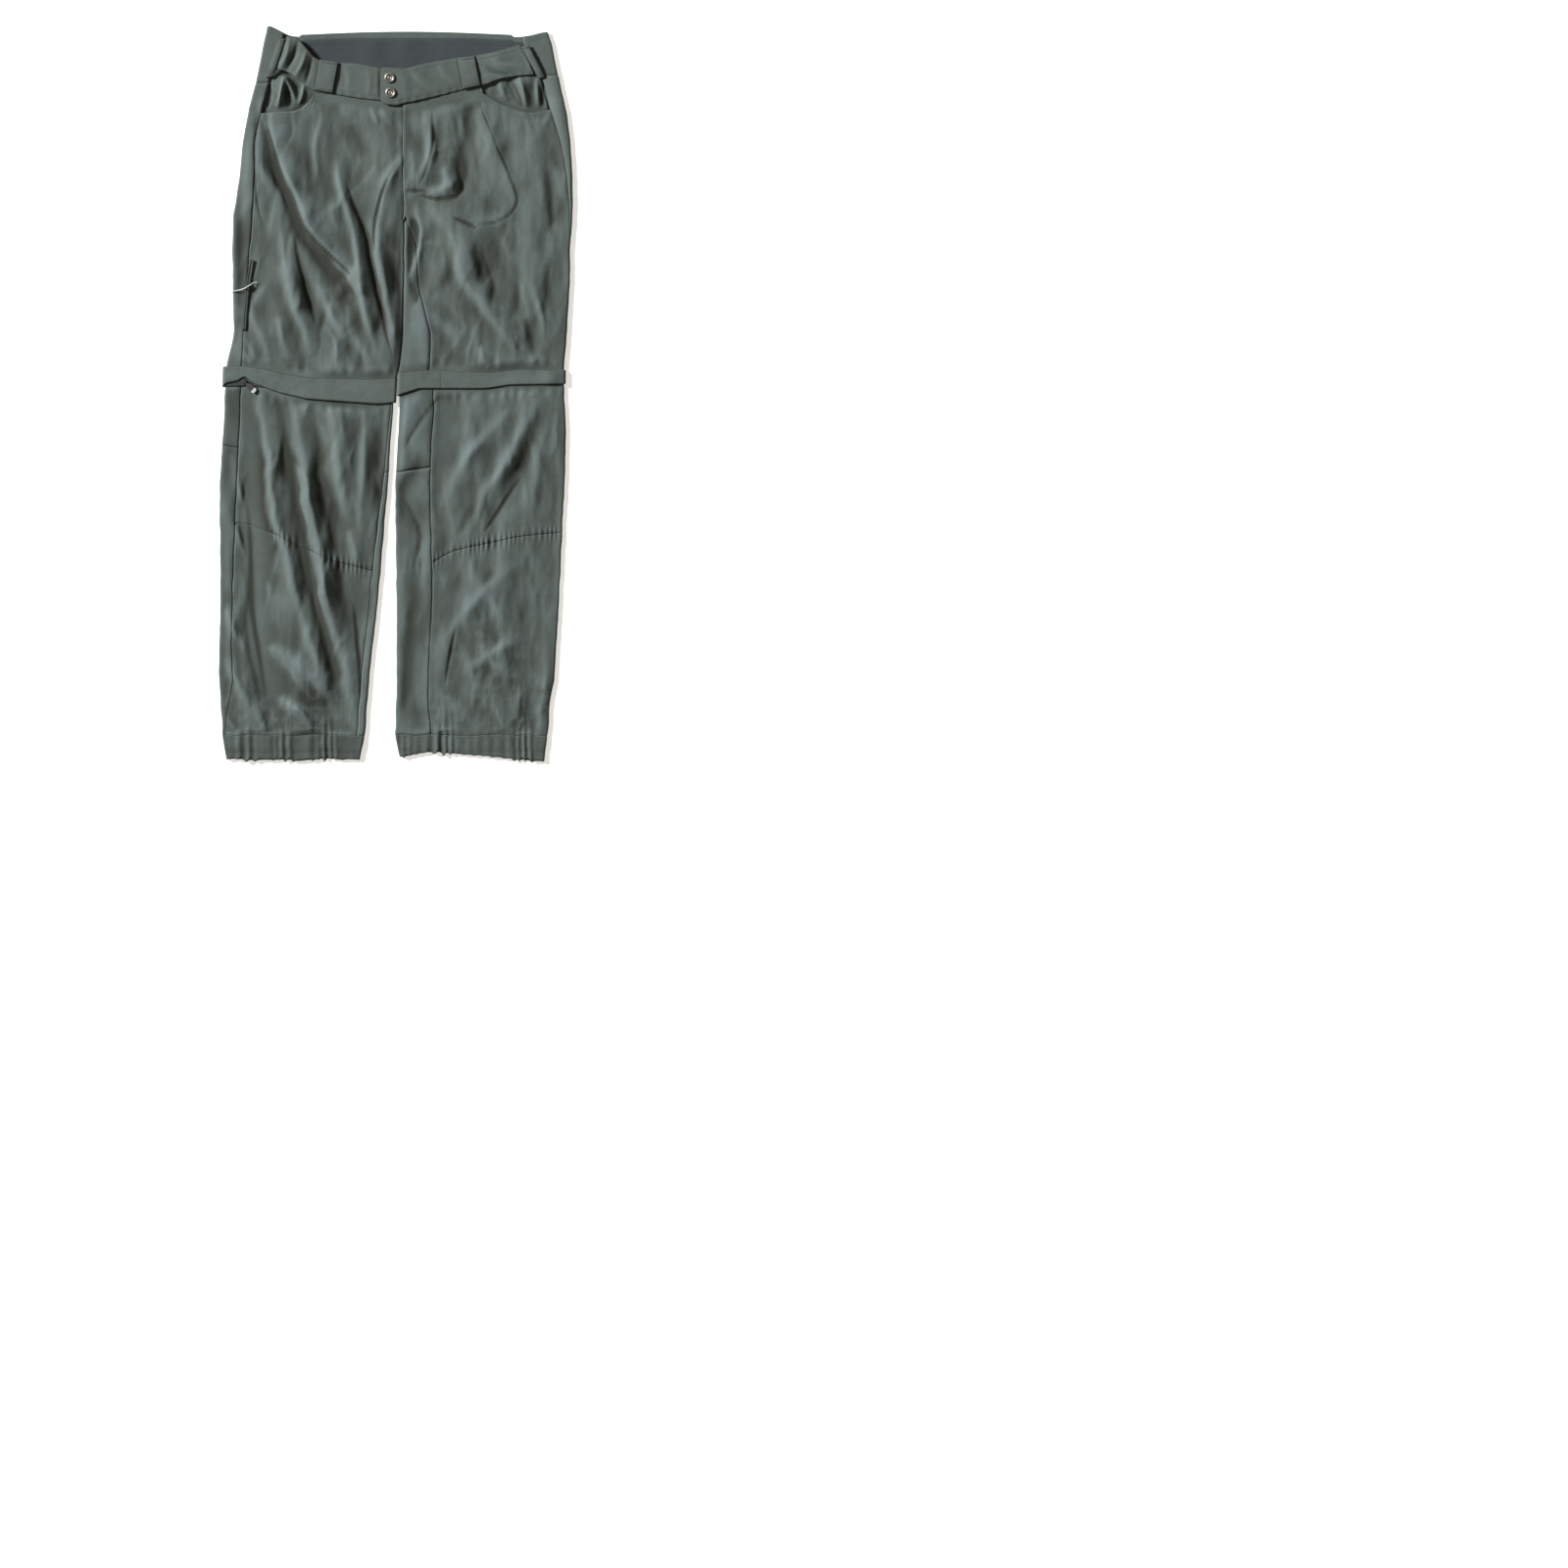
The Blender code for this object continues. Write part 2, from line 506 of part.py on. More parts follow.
def edge_at(tube, stops, cells, edge, guess):
    """The height at which each column of a panel meets an edge, found in a few steps."""
    y = np.full(sum(cells) + 1, float(guess))
    for _ in range(6):
        at = tube.place(y, spread(y, stops, cells))[0]
        y = edge(at[:, 0], at[:, 2])
    return y


def tube_panel(name, side, kind, stops, cells, top, bottom, between, cell):
    """One cut piece of a leg: the part of its tube between two seams and two edges."""
    tube = TUBES[kind][side]
    first = edge_at(tube, stops, cells, top, between[0])
    last = edge_at(tube, stops, cells, bottom, between[-1])
    y = levels_of(first, last, between, cell)
    at, outward = tube.place(y, spread(y, stops, cells))
    lift = relief(side, at[..., 0], y) + fly_lift(side, at[..., 0], y) * (kind == "thigh")
    up = np.stack([0 * y, 0 * y, lift * smooth(outward[..., 2])], -1)
    return wall(name, at + up, at + up - CLOTH * outward, "nylon")


def knee_edge(on_front, on_back):
    """An edge at the knee: one line where the cloth is high, under the flap, and one where it is low."""

    def edge(x, z):
        high = smooth((z - 2.6) / 1.8)
        return high * on_front(x) + (1 - high) * on_back(x)

    return edge


def flat_edge(height):
    return lambda x, z: height(x)


def back_line(points):
    """The straight line under the leg between the two ends of an edge."""
    return straight((points[0], points[-1]))


def seam_out(tube, gap=0.0):
    return lambda y: tube.inboard(tube.at("out_seam", y)) - gap


def seam_in(tube):
    """The front's inner seam: the fly in the joined part, and the inseam below."""
    return lambda y: tube.half(y) - tube.inboard(tube.at("in_seam", y)) - tube.at("joined", y) * GAP / 2


def seam_back(tube):
    """The back's inner seam: the middle of the seat in the joined part, and the inseam below."""

    def place(y):
        joined = np.clip(3 * tube.at("joined", y) - 0.35, 0, 1)
        seat = -(tube.quarter + tube.width(y) - tube.past_fly(y) - tube.radius) + GAP / 2
        leg = -tube.half(y) - tube.inboard(tube.at("in_seam", y)) + GAP
        return joined * seat + (1 - joined) * leg

    return place


def raised_front_top(side):
    """The front's upper edge: under the waistband, or the pocket's edge."""
    seam = line(WAIST_SEAM)
    pocket = line(POCKET_EDGE_RIGHT if side == "right" else POCKET_EDGE_LEFT, 5.0)
    corner = -116.4 if side == "right" else 122.7
    way = TUBES["thigh"][side].way
    return lambda x, z: np.where((x - corner) * way > 0, seam(x) + 3, pocket(x))


ZIPS = {"right": line(ZIP_RIGHT), "left": line(ZIP_LEFT)}
FLAP_TOPS = {"right": FLAP_TOP_RIGHT, "left": FLAP_TOP_LEFT}
FLAP_LOWS = {"right": FLAP_LOW_RIGHT, "left": FLAP_LOW_LEFT}
KNEE_SEAMS = {"right": KNEE_SEAM_RIGHT, "left": KNEE_SEAM_LEFT}
BACK_KNEES = {"right": BACK_KNEE_RIGHT, "left": BACK_KNEE_LEFT}
HEMS = {"right": HEM_RIGHT, "left": HEM_LEFT}
TRUNK_ROWS = {
    "right": (402, 357, 311, 253, 251.5, 250, 249.2, 248.4, 247.8, 247.2, 246.6, 246, 211, 154, 86, 44),
    "left": (402, 357, 311, 253, 251.2, 249.5, 247.8, 246, 239, 232, 225, 218, 211, 154, 86, 44),
}
KNEE_ROWS = (-22, -60, -126.5)
SHIN_ROWS = {"right": (-275, -352, -403, -464), "left": (-275, -352, -403, -431, -464)}


def make_thighs():
    """The front and back panels from the waist to the knee zips."""
    for side in ("right", "left"):
        tube = TUBES["thigh"][side]
        above_zip = knee_edge(lambda x, s=side: ZIPS[s](x) + TAPE + LOOSE,
                              lambda x, s=side: back_line(FLAP_TOPS[s])(x) + LOOSE)
        out, back_out = seam_out(tube), seam_out(tube, GAP)
        if side == "right":
            front, front_cells = stops_of(tube, out, seam_in(tube), ["inner"]), (15, ARC_CELLS, 1)
            back, back_cells = stops_of(tube, back_out, seam_back(tube), ["outer"], -1), (3, ARC_CELLS, 4)
        else:
            front, front_cells = stops_of(tube, out, seam_in(tube), ["outer"]), (1, ARC_CELLS, 15)
            back = stops_of(tube, back_out, seam_back(tube), ["outer", "inner"], -1)
            back_cells = (3, ARC_CELLS, 4, ARC_CELLS, 5)
        tube_panel("front_" + side, side, "thigh", front, front_cells, raised_front_top(side),
                   above_zip, TRUNK_ROWS[side][1:], ROW_CELL)
        tube_panel("back_" + side, side, "thigh", back, back_cells,
                   flat_edge(lambda x: straight(BACK_SEAM)(x) - GAP), above_zip, TRUNK_ROWS[side], 60)


def make_lower_legs():
    """The zip-off lower legs: knee and shin panels in front, two panels behind."""
    for side in ("right", "left"):
        tube = TUBES["lower"][side]
        below_zip = knee_edge(lambda x, s=side: ZIPS[s](x) - TAPE - LOOSE,
                              lambda x, s=side: back_line(FLAP_LOWS[s])(x) - LOOSE)
        knee, behind = line(KNEE_SEAMS[side]), straight(BACK_KNEES[side])
        out, back_out = seam_out(tube), seam_out(tube, GAP)
        if side == "right":
            front, front_cells = stops_of(tube, out, seam_in(tube), []), (16,)
            back = stops_of(tube, back_out, seam_back(tube), ["outer", "inner"], -1)
            back_cells = (3, ARC_CELLS, 4, ARC_CELLS, 2)
        else:
            front, front_cells = stops_of(tube, out, seam_in(tube), ["outer"]), (1, ARC_CELLS, 14)
            back = stops_of(tube, back_out, seam_back(tube), ["inner"], -1)
            back_cells = (4, ARC_CELLS, 6)
        at_hem = HEM_SEAM + GAP / 2
        tube_panel("knee_panel_" + side, side, "lower", front, front_cells, below_zip,
                   flat_edge(lambda x, k=knee: k(x) + GAP / 2), KNEE_ROWS, ROW_CELL)
        tube_panel("shin_panel_" + side, side, "lower", front, front_cells,
                   flat_edge(lambda x, k=knee: k(x) - GAP / 2), flat_edge(lambda x: 0 * x + at_hem),
                   SHIN_ROWS[side], ROW_CELL)
        tube_panel("back_knee_" + side, side, "lower", back, back_cells, below_zip,
                   flat_edge(lambda x, b=behind: b(x) + GAP / 2), KNEE_ROWS[:2], 90)
        tube_panel("back_calf_" + side, side, "lower", back, back_cells,
                   flat_edge(lambda x, b=behind: b(x) - GAP / 2), flat_edge(lambda x: 0 * x + at_hem),
                   (-126.5,) + SHIN_ROWS[side], 90)


def ring_columns(tube, y, across):
    """s at points all round a ring: both edges in fine steps, the front at `across`, the back coarse."""
    half, quarter = float(tube.half(y)), tube.quarter
    arc = np.linspace(-quarter, quarter, 7)
    front = quarter + np.asarray(across) * (half - 2 * quarter)
    under = np.linspace(half + quarter, 2 * half - quarter, 6)
    return np.concatenate([arc, front, half + arc, under[1:]])


def tube_ring(name, side, kind, across, top, bottom, steps, lift=None, material="nylon"):
    """A closed band round a leg, between two edges, as seen from the front."""
    tube = TUBES[kind][side]
    middle = float(np.mean(top(np.array([tube.at("outer", 0), tube.at("inner", 0)]), 0)))
    s = ring_columns(tube, middle, across)
    rough = tube.place(np.full_like(s, middle), s)[0]
    first, last = top(rough[:, 0], rough[:, 2]), bottom(rough[:, 0], rough[:, 2])
    y = np.stack([first + (last - first) * k / steps for k in range(steps + 1)])
    at, outward = tube.place(y, s * tube.half(y) / tube.half(middle))
    if lift is not None:
        at[..., 2] += lift(at[..., 0], y) * smooth(outward[..., 2])
    return wall(name, at, at - CLOTH * outward, material, ring=True)


def front_or_back(on_front, on_back, height):
    """An edge that follows one line on the front and another under the leg."""
    return lambda x, z: np.where(np.asarray(z) > height, on_front(x), on_back(x))


def make_knee_rings():
    """The knee zips and the flaps over them."""
    for side in ("right", "left"):
        zip_line, coarse = ZIPS[side], np.linspace(0, 1, 14)[1:-1]
        tube_ring("knee_zip_" + side, side, "zip", coarse, lambda x, z, f=zip_line: f(x) + TAPE,
                  lambda x, z, f=zip_line: f(x) - TAPE, 1, material="tape")
        notch = np.array((2, 7, 12, 16, 20, 23, 26, 29, 32, 35, 38, 42, 48)) / 247
        across = np.concatenate([notch, np.linspace(0.25, 0.94, 12)]) if side == "right" else coarse
        middle = FLAP_HEIGHT / 2
        top = front_or_back(line(FLAP_TOPS[side]), back_line(FLAP_TOPS[side]), middle)
        low = front_or_back(line(FLAP_LOWS[side], 2.0), back_line(FLAP_LOWS[side]), middle)
        room = KNEE_SLIDER_LEFT if side == "left" else None
        tube_ring("knee_flap_" + side, side, "flap", across, top, low, 2, over_slider(room))


def over_slider(place):
    """The small rise of a flap over the slider that is under it."""
    if place is None:
        return None
    return lambda x, y: 3.0 * np.exp(-((x - place[0]) ** 2 + (y - place[1]) ** 2) / 13.0**2)


def make_hem_bands():
    """The hem bands, gathered by the cord inside them."""
    for side in ("right", "left"):
        hem = line(HEMS[side], 6.0)
        across = np.linspace(0, 1, 49)[1:-1]

        def low(x, z, hem=hem):
            return hem(x) + 1.1 * np.sin(x / 3.1) * np.sin(x / 17.0)

        def gathers(x, y):
            return (0.9 + 0.9 * np.sin(x / 2.9 + 1.3 * np.sin(x / 19))) * smooth((HEM_SEAM + 3 - y) / 9)

        tube_ring("hem_band_" + side, side, "lower", across, lambda x, z: 0 * x + HEM_SEAM - GAP / 2,
                  low, 2, gathers)


def heights_over(names, x, y, reach, floor):
    """The highest point of these pieces near each place, seen from above."""
    found = np.full(np.shape(x), float(floor))
    for name in names:
        thing = bpy.data.objects[name]
        tree = BVHTree.FromPolygons([v.co for v in thing.data.vertices],
                                    [tuple(p.vertices) for p in thing.data.polygons])
        for index in np.ndindex(found.shape):
            for dx, dy in ((0, 0), (reach, 0), (-reach, 0), (0, reach), (0, -reach)):
                start = Vector(((x[index] + dx) * MM, (y[index] + dy) * MM, 0.1))
                hit = tree.ray_cast(start, Vector((0, 0, -1)))[0]
                if hit is not None:
                    found[index] = max(found[index], hit.z / MM)
    return found


def sheet(name, points, thickness, material="nylon"):
    """A piece of cloth from one grid of points, thickened upwards from the layer that it lies on."""
    rows, columns = points.shape[:2]
    mesh = bpy.data.meshes.new(name)
    mesh.from_pydata((points.reshape(-1, 3) * MM).tolist(), [], grid_faces(rows, columns).tolist())
    body = bmesh.new()
    body.from_mesh(mesh)
    if sum(face.normal.z for face in body.faces) < 0:
        bmesh.ops.reverse_faces(body, faces=body.faces)
    body.to_mesh(mesh)
    body.free()
    thing = put(name, mesh, material)
    shell = thing.modifiers.new("thickness", "SOLIDIFY")
    shell.thickness = thickness * MM
    shell.offset = 1
    return thing


def settled(thing):
    """The object with its modifiers made part of its mesh."""
    depsgraph = bpy.context.evaluated_depsgraph_get()
    mesh = bpy.data.meshes.new_from_object(thing.evaluated_get(depsgraph))
    thing.modifiers.clear()
    thing.data = mesh
    return thing


def band_grid(rows, across, down):
    """Points (row, column, xy) of a waistband, from its upper edge to its lower one."""
    table = np.array(rows, float)
    steps = np.linspace(0, len(rows) - 1, across)
    columns = [np.interp(steps, np.arange(len(rows)), table[:, k]) for k in range(5)]
    top, low, lift = np.stack(columns[:2], -1), np.stack(columns[2:4], -1), columns[4]
    v = np.linspace(0, 1, down)[:, None, None]
    return top * (1 - v) + low * v, np.broadcast_to(lift, (down, across))


def make_front_waistbands():
    """The two front waistbands. They lap the fronts, and the left one ends in the tab."""
    below = []
    for side, rows in (("right", WAISTBAND_RIGHT), ("left", WAISTBAND_LEFT)):
        plan, lift = band_grid(rows, 2 * len(rows) - 1, 4)
        x, y = plan[..., 0], plan[..., 1]
        under = heights_over(["front_" + side] + below, x, y, 6.0, THIGH_HEIGHT) + GAP
        under = np.maximum(under, under[-1]) + lift
        band = settled(sheet("waistband_front_" + side, np.dstack([x, y, under]), BAND))
        below = [band.name]


def make_back_waistband():
    """The back waistband, from slit to slit round the back, and the facing that shows inside it."""
    tube, low = WAIST_TUBE, straight(BACK_SEAM)
    ends = [straight(np.array(points)[::-1, ::-1]) for points in (SLIT_RIGHT, SLIT_LEFT)]

    def start(y):
        return tube.quarter + np.abs(ends[0](y) - tube.at("outer", y)) - tube.radius

    def end(y):
        return -tube.half(y) - (tube.quarter + np.abs(tube.at("inner", y) - ends[1](y)) - tube.radius)

    def top(x, z):
        arch = np.where(np.abs(x - 15) < 150, 4.5 * np.cos((x - 15) / 95), -3)
        peaks = 15 * np.exp(-(((x + 181) / 22) ** 2)) + 6.5 * np.exp(-(((x - 214) / 20) ** 2))
        return 509.5 + arch + peaks

    stops, cells = stops_of(tube, start, end, ["outer", "inner"], -1), (2, 7, 12, 7, 2)
    first = edge_at(tube, stops, cells, top, 500)
    last = edge_at(tube, stops, cells, lambda x, z: low(x) + GAP / 2, 450)
    y = levels_of(first, last, (), 18)
    at, outward = tube.place(y, spread(y, stops, cells))
    wall("waistband_back", at, at - CLOTH * outward, "nylon")

    across = np.linspace(0, 1, 27)
    v = np.linspace(0, 1, 4)[:, None]
    high, deep = 510.0, 449.0
    y = high + (deep - high) * v + 0 * across
    x = tube.at("outer", y) + 10 + (tube.at("inner", y) - tube.at("outer", y) - 20) * across
    y = y + v[::-1] * (np.minimum(top(x, 0), 512.5) - 1.5 - high)
    sheet("waistband_facing", np.dstack([x, y, 0 * x + CLOTH + GAP]), CLOTH, "facing")


def quad_grid(loop, across, down):
    u, v = np.linspace(0, 1, across)[None, :, None], np.linspace(0, 1, down)[:, None, None]
    top = np.array(loop.top_right) * (1 - u) + np.array(loop.top_left) * u
    low = np.array(loop.low_right) * (1 - u) + np.array(loop.low_left) * u
    return top * (1 - v) + low * v, v[..., 0]


def make_belt_loops():
    """Two loops on the front waistbands, and one over each side slit."""
    for kind, loops in (("front", FRONT_LOOPS), ("side", SIDE_LOOPS)):
        for side, loop in loops.items():
            plan, v = quad_grid(loop, 4, 6)
            x, y = plan[..., 0], plan[..., 1]
            carriers = ["waistband_front_" + side, "waistband_back", "back_" + side]
            under = heights_over(carriers, x, y, 4.0, THIGH_HEIGHT)
            under = under.max(axis=1, keepdims=True) + GAP + loop.bow * np.sin(math.pi * v)
            sheet("belt_loop_" + kind + "_" + side, np.dstack([x, y, under + 0 * x]), CLOTH)


def make_pocket_facings():
    """The inner cloth that shows in each front pocket's opening, tucked under the front."""
    for side in ("right", "left"):
        tube, seam = TUBES["thigh"][side], line(WAIST_SEAM)
        if side == "right":
            table, edge, inner_x, ridge = WAISTBAND_RIGHT[4:], POCKET_EDGE_RIGHT, -108.0, -158.0
        else:
            table, edge, inner_x, ridge = WAISTBAND_LEFT[6:], POCKET_EDGE_LEFT, 116.0, 182.0
        pocket = line(edge, 5.0)
        lows = np.array([(row.low_x, row.low_y) for row in table])
        lows = lows[np.argsort(lows[:, 0])]
        u, v = np.linspace(0, 1, 13)[None, :], np.linspace(0, 1, 6)[:, None]

        def outseam(y, tube=tube):
            return tube.at("outer", y) + tube.way * (tube.at("out_seam", y) + 2.5)

        x = outseam(425.0) + (inner_x - outseam(425.0)) * u
        upper = np.minimum(np.interp(x, lows[:, 0], lows[:, 1]) + 4, 455)
        lower = np.minimum(pocket(x), seam(x) - 4) - 9
        y = upper + (lower - upper) * v
        x = outseam(y) + (inner_x - outseam(y)) * u
        calm = smooth(np.abs(x - inner_x) / 16) * smooth((upper - 5 - y) / 9)
        shows = smooth((y - pocket(x) - 1) / 10) * calm
        bank = 3.2 * np.exp(-(((x - ridge) / 9) ** 2))
        over_facing = CLOTH + GAP + 0.2
        z = CLOTH + GAP + over_facing * smooth((y - 437) / 9) + shows * (0.5 + bank)
        sheet("pocket_facing_" + side, np.dstack([x, y, z]), CLOTH)


def make_snaps():
    """Two ring snaps on the tab, each turned about its own middle."""
    profile = ((0.0, 0.6), (3.6, 0.6), (4.1, 1.3), (4.9, 1.9), (6.3, 2.0), (7.2, 1.5),
               (SNAP_RADIUS, 0.7), (SNAP_RADIUS, 0.0), (0.0, 0.0))
    for name, (x, y) in SNAPS.items():
        spread = np.array([(0, 0), (7, 0), (-7, 0), (0, 7), (0, -7)])
        high = heights_over(["waistband_front_left"], x + spread[:, 0], y + spread[:, 1], 0.5, 0).max()
        mesh = bpy.data.meshes.new("snap_" + name)
        points = [(r * MM, 0, z * MM) for r, z in profile]
        mesh.from_pydata(points, [(k, k + 1) for k in range(len(points) - 1)], [])
        thing = put("snap_" + name, mesh, "snap_metal")
        thing.location = (x * MM, y * MM, (high + GAP) * MM)
        turn = thing.modifiers.new("turn", "SCREW")
        turn.steps = turn.render_steps = 18
        turn.use_merge_vertices = True
        turn.merge_threshold = 1e-6


def ribbon(points, width, count):
    """Points (row, column, xy) of a narrow strip along a line."""
    middle = np.array(points, float)
    along = np.concatenate([[0], np.cumsum(np.linalg.norm(np.diff(middle, axis=0), axis=1))])
    t = np.linspace(0, along[-1], count)
    middle = np.stack([np.interp(t, along, middle[:, k]) for k in (0, 1)], -1)
    way = np.gradient(middle, axis=0)
    way /= np.linalg.norm(way, axis=1)[:, None]
    aside = np.stack([way[:, 1], -way[:, 0]], -1)
    return middle[:, None] + aside[:, None] * (np.linspace(-0.5, 0.5, 2) * width)[None, :, None]


def make_pocket_zip():
    """The zip of the thigh pocket in the right outseam, its slider, and the cord on it."""
    carriers = ["front_right", "back_right"]
    plan = ribbon(POCKET_ZIP, 6.0, 9)
    x, y = plan[..., 0], plan[..., 1]
    under = heights_over(carriers, x, y, 3.0, THIGH_HEIGHT).max(axis=1, keepdims=True) + GAP + 0 * x
    strip = settled(sheet("pocket_zip", np.dstack([x, y, under]), CLOTH, "tape"))
    x, y = POCKET_SLIDER
    aside, along = (spread.ravel() for spread in np.meshgrid((-2, 0, 2), (-4, -2, 0, 2, 4)))
    high = heights_over([strip.name], x + aside, y + along, 0.8, 0).max() + GAP
    mesh = box_mesh("pocket_zip_slider", POCKET_SLIDER_SIZE, 0.6)
    slider = put("pocket_zip_slider", mesh, "dark_metal")
    slider.location = (x * MM, y * MM, (high + SLIDER_HEIGHT / 2) * MM)
    slider.rotation_euler.z = math.radians(-8)

    route = np.array(CORD_ROUTE, float)
    on_leg = heights_over(carriers + [strip.name], route[:, 0], route[:, 1], 1.2, 0.0)
    near = np.hypot(route[:, 0] - x, route[:, 1] - y) < 6.5
    height = np.where(near, high + SLIDER_HEIGHT, on_leg) + GAP + CORD_RADIUS
    height = np.where(route[:, 2] > 0, route[:, 2] + 0.2, height)
    cord_curve("pocket_zip_cord", np.stack([route[:, 0], route[:, 1], height], -1), CORD_RADIUS)


def cord_curve(name, route, radius):
    """A round cord: a poly curve through a smooth line that passes all the route's points."""
    knots = np.concatenate([[2 * route[0] - route[1]], route, [2 * route[-1] - route[-2]]])
    t = np.linspace(0, 1, 3)[:-1, None, None]
    a, b, c, d = knots[None, :-3], knots[None, 1:-2], knots[None, 2:-1], knots[None, 3:]
    bend = b + t * (c - a) / 2 + t**2 * (a - 2.5 * b + 2 * c - d / 2) + t**3 * (1.5 * (b - c) + (d - a) / 2)
    points = np.concatenate([bend.transpose(1, 0, 2).reshape(-1, 3), route[-1:]])
    curve = bpy.data.curves.new(name, "CURVE")
    curve.dimensions = "3D"
    curve.bevel_depth = radius * MM
    curve.bevel_resolution = 2
    curve.use_fill_caps = True
    spline = curve.splines.new("POLY")
    spline.points.add(len(points) - 1)
    spline.points.foreach_set("co", np.column_stack([points * MM, np.ones(len(points))]).ravel())
    curve.materials.append(MATERIALS["cord"])
    thing = bpy.data.objects.new(name, curve)
    TROUSERS.objects.link(thing)
    return thing


def box_mesh(name, size, bevel):
    """A block with rounded upright and flat edges, about its own middle."""
    body = bmesh.new()
    bmesh.ops.create_cube(body, size=1)
    bmesh.ops.scale(body, vec=Vector(size) * MM, verts=body.verts)
    bmesh.ops.bevel(body, geom=body.edges, offset=bevel * MM, segments=1, affect="EDGES")
    mesh = bpy.data.meshes.new(name)
    body.to_mesh(mesh)
    body.free()
    return mesh


def rod_mesh(name, radius, length, sides=12):
    """A round rod along X, about its own middle."""
    body = bmesh.new()
    bmesh.ops.create_cone(body, cap_ends=True, segments=sides, radius1=radius * MM, radius2=radius * MM,
                          depth=length * MM)
    bmesh.ops.rotate(body, matrix=Matrix.Rotation(math.pi / 2, 3, "Y"), verts=body.verts)
    mesh = bpy.data.meshes.new(name)
    body.to_mesh(mesh)
    body.free()
    return mesh


def boolean(thing, cutter, operation):
    """Adds a helper shape to an object, or takes it out, and keeps the helper out of the build."""
    cutter.hide_render = True
    cutter.display_type = "WIRE"
    step = thing.modifiers.new(operation.lower(), "BOOLEAN")
    step.operation = operation
    step.object = cutter


def helper(name, mesh, place, turn=0.0):
    thing = bpy.data.objects.new(name, mesh)
    CUTTERS.objects.link(thing)
    thing.location = place
    thing.rotation_euler.z = turn
    return thing


def make_knee_sliders():
    """The slider and the swinging pull tab on the right knee zip, and the plain slider on the left."""
    turn = math.atan2(PULL_WAY[1], PULL_WAY[0]) - math.pi / 2  # local Y points along the tab
    x, y = KNEE_SLIDER_RIGHT
    base_top = THIGH_HEIGHT + GAP + SLIDER_HEIGHT
    slider = put("knee_slider_right", box_mesh("knee_slider_right", KNEE_SLIDER_SIZE, 0.5), "dark_metal")
    slider.location = (x * MM, y * MM, (base_top - SLIDER_HEIGHT / 2) * MM)
    slider.rotation_euler.z = turn
    pin = Vector((x + 0.4 * PULL_WAY[0], y + 0.4 * PULL_WAY[1], base_top + PIN_LIFT))
    for name, aside in (("knee_ear_near", -EAR_APART / 2), ("knee_ear_far", EAR_APART / 2)):
        place = (pin + Vector((math.cos(turn), math.sin(turn), 0)) * aside) * MM
        place.z = (base_top - 0.4 + EAR_SIZE[2] / 2) * MM
        boolean(slider, helper(name, box_mesh(name, EAR_SIZE, 0.2), place, turn), "UNION")
    rod = rod_mesh("knee_pin", PIN_RADIUS, EAR_APART + 0.3)
    boolean(slider, helper("knee_pin", rod, pin * MM, turn), "UNION")

    pull = put("knee_pull_right", pull_mesh("knee_pull_right"), "pull_rubber")
    pull.location = pin * MM
    pull.rotation_euler = (-PULL_SLOPE, 0, turn)
    hole = rod_mesh("knee_eye", EYE_RADIUS, 2 * EAR_APART)
    boolean(pull, helper("knee_eye", hole, pin * MM, turn), "DIFFERENCE")

    x, y = KNEE_SLIDER_LEFT
    plain = put("knee_slider_left", box_mesh("knee_slider_left", HIDDEN_SLIDER_SIZE, 0.5), "dark_metal")
    plain.location = (x * MM, y * MM, (THIGH_HEIGHT + GAP + HIDDEN_SLIDER_SIZE[2] / 2) * MM)


def pull_mesh(name):
    """The pull tab along +Y from its pin: a thick round eye, a narrow neck and a wider grip."""
    outline = ((1.65, -EYE_REACH), (1.65, 4.2), (3.2, 6.0), (PULL_WIDTH / 2, 8.0),
               (PULL_WIDTH / 2, PULL_LENGTH - 2.0), (2.6, PULL_LENGTH))
    whole = [(-w, y) for w, y in outline] + [(w, y) for w, y in reversed(outline)]
    body = bmesh.new()
    thick = [2 * EYE_REACH if y < 2 else PULL_THICK for _, y in whole]
    low = [body.verts.new((w * MM, y * MM, -t / 2 * MM)) for (w, y), t in zip(whole, thick)]
    high = [body.verts.new((w * MM, y * MM, t / 2 * MM)) for (w, y), t in zip(whole, thick)]
    for k in range(len(outline) - 1):
        a, b, c, d = k, k + 1, len(whole) - 2 - k, len(whole) - 1 - k
        body.faces.new((high[a], high[b], high[c], high[d]))
        body.faces.new((low[a], low[d], low[c], low[b]))
    for k in range(len(whole)):
        n = (k + 1) % len(whole)
        body.faces.new((low[k], low[n], high[n], high[k]))
    bmesh.ops.recalc_face_normals(body, faces=body.faces)
    mesh = bpy.data.meshes.new(name)
    body.to_mesh(mesh)
    body.free()
    return mesh


clear_scene()
MATERIALS = make_materials()
TROUSERS = collection_of("zip_off_trousers")
CUTTERS = collection_of("cutters")
make_thighs()
make_lower_legs()
make_knee_rings()
make_hem_bands()
make_back_waistband()
make_front_waistbands()
make_belt_loops()
make_pocket_facings()
make_snaps()
make_pocket_zip()
make_knee_sliders()
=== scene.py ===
import math

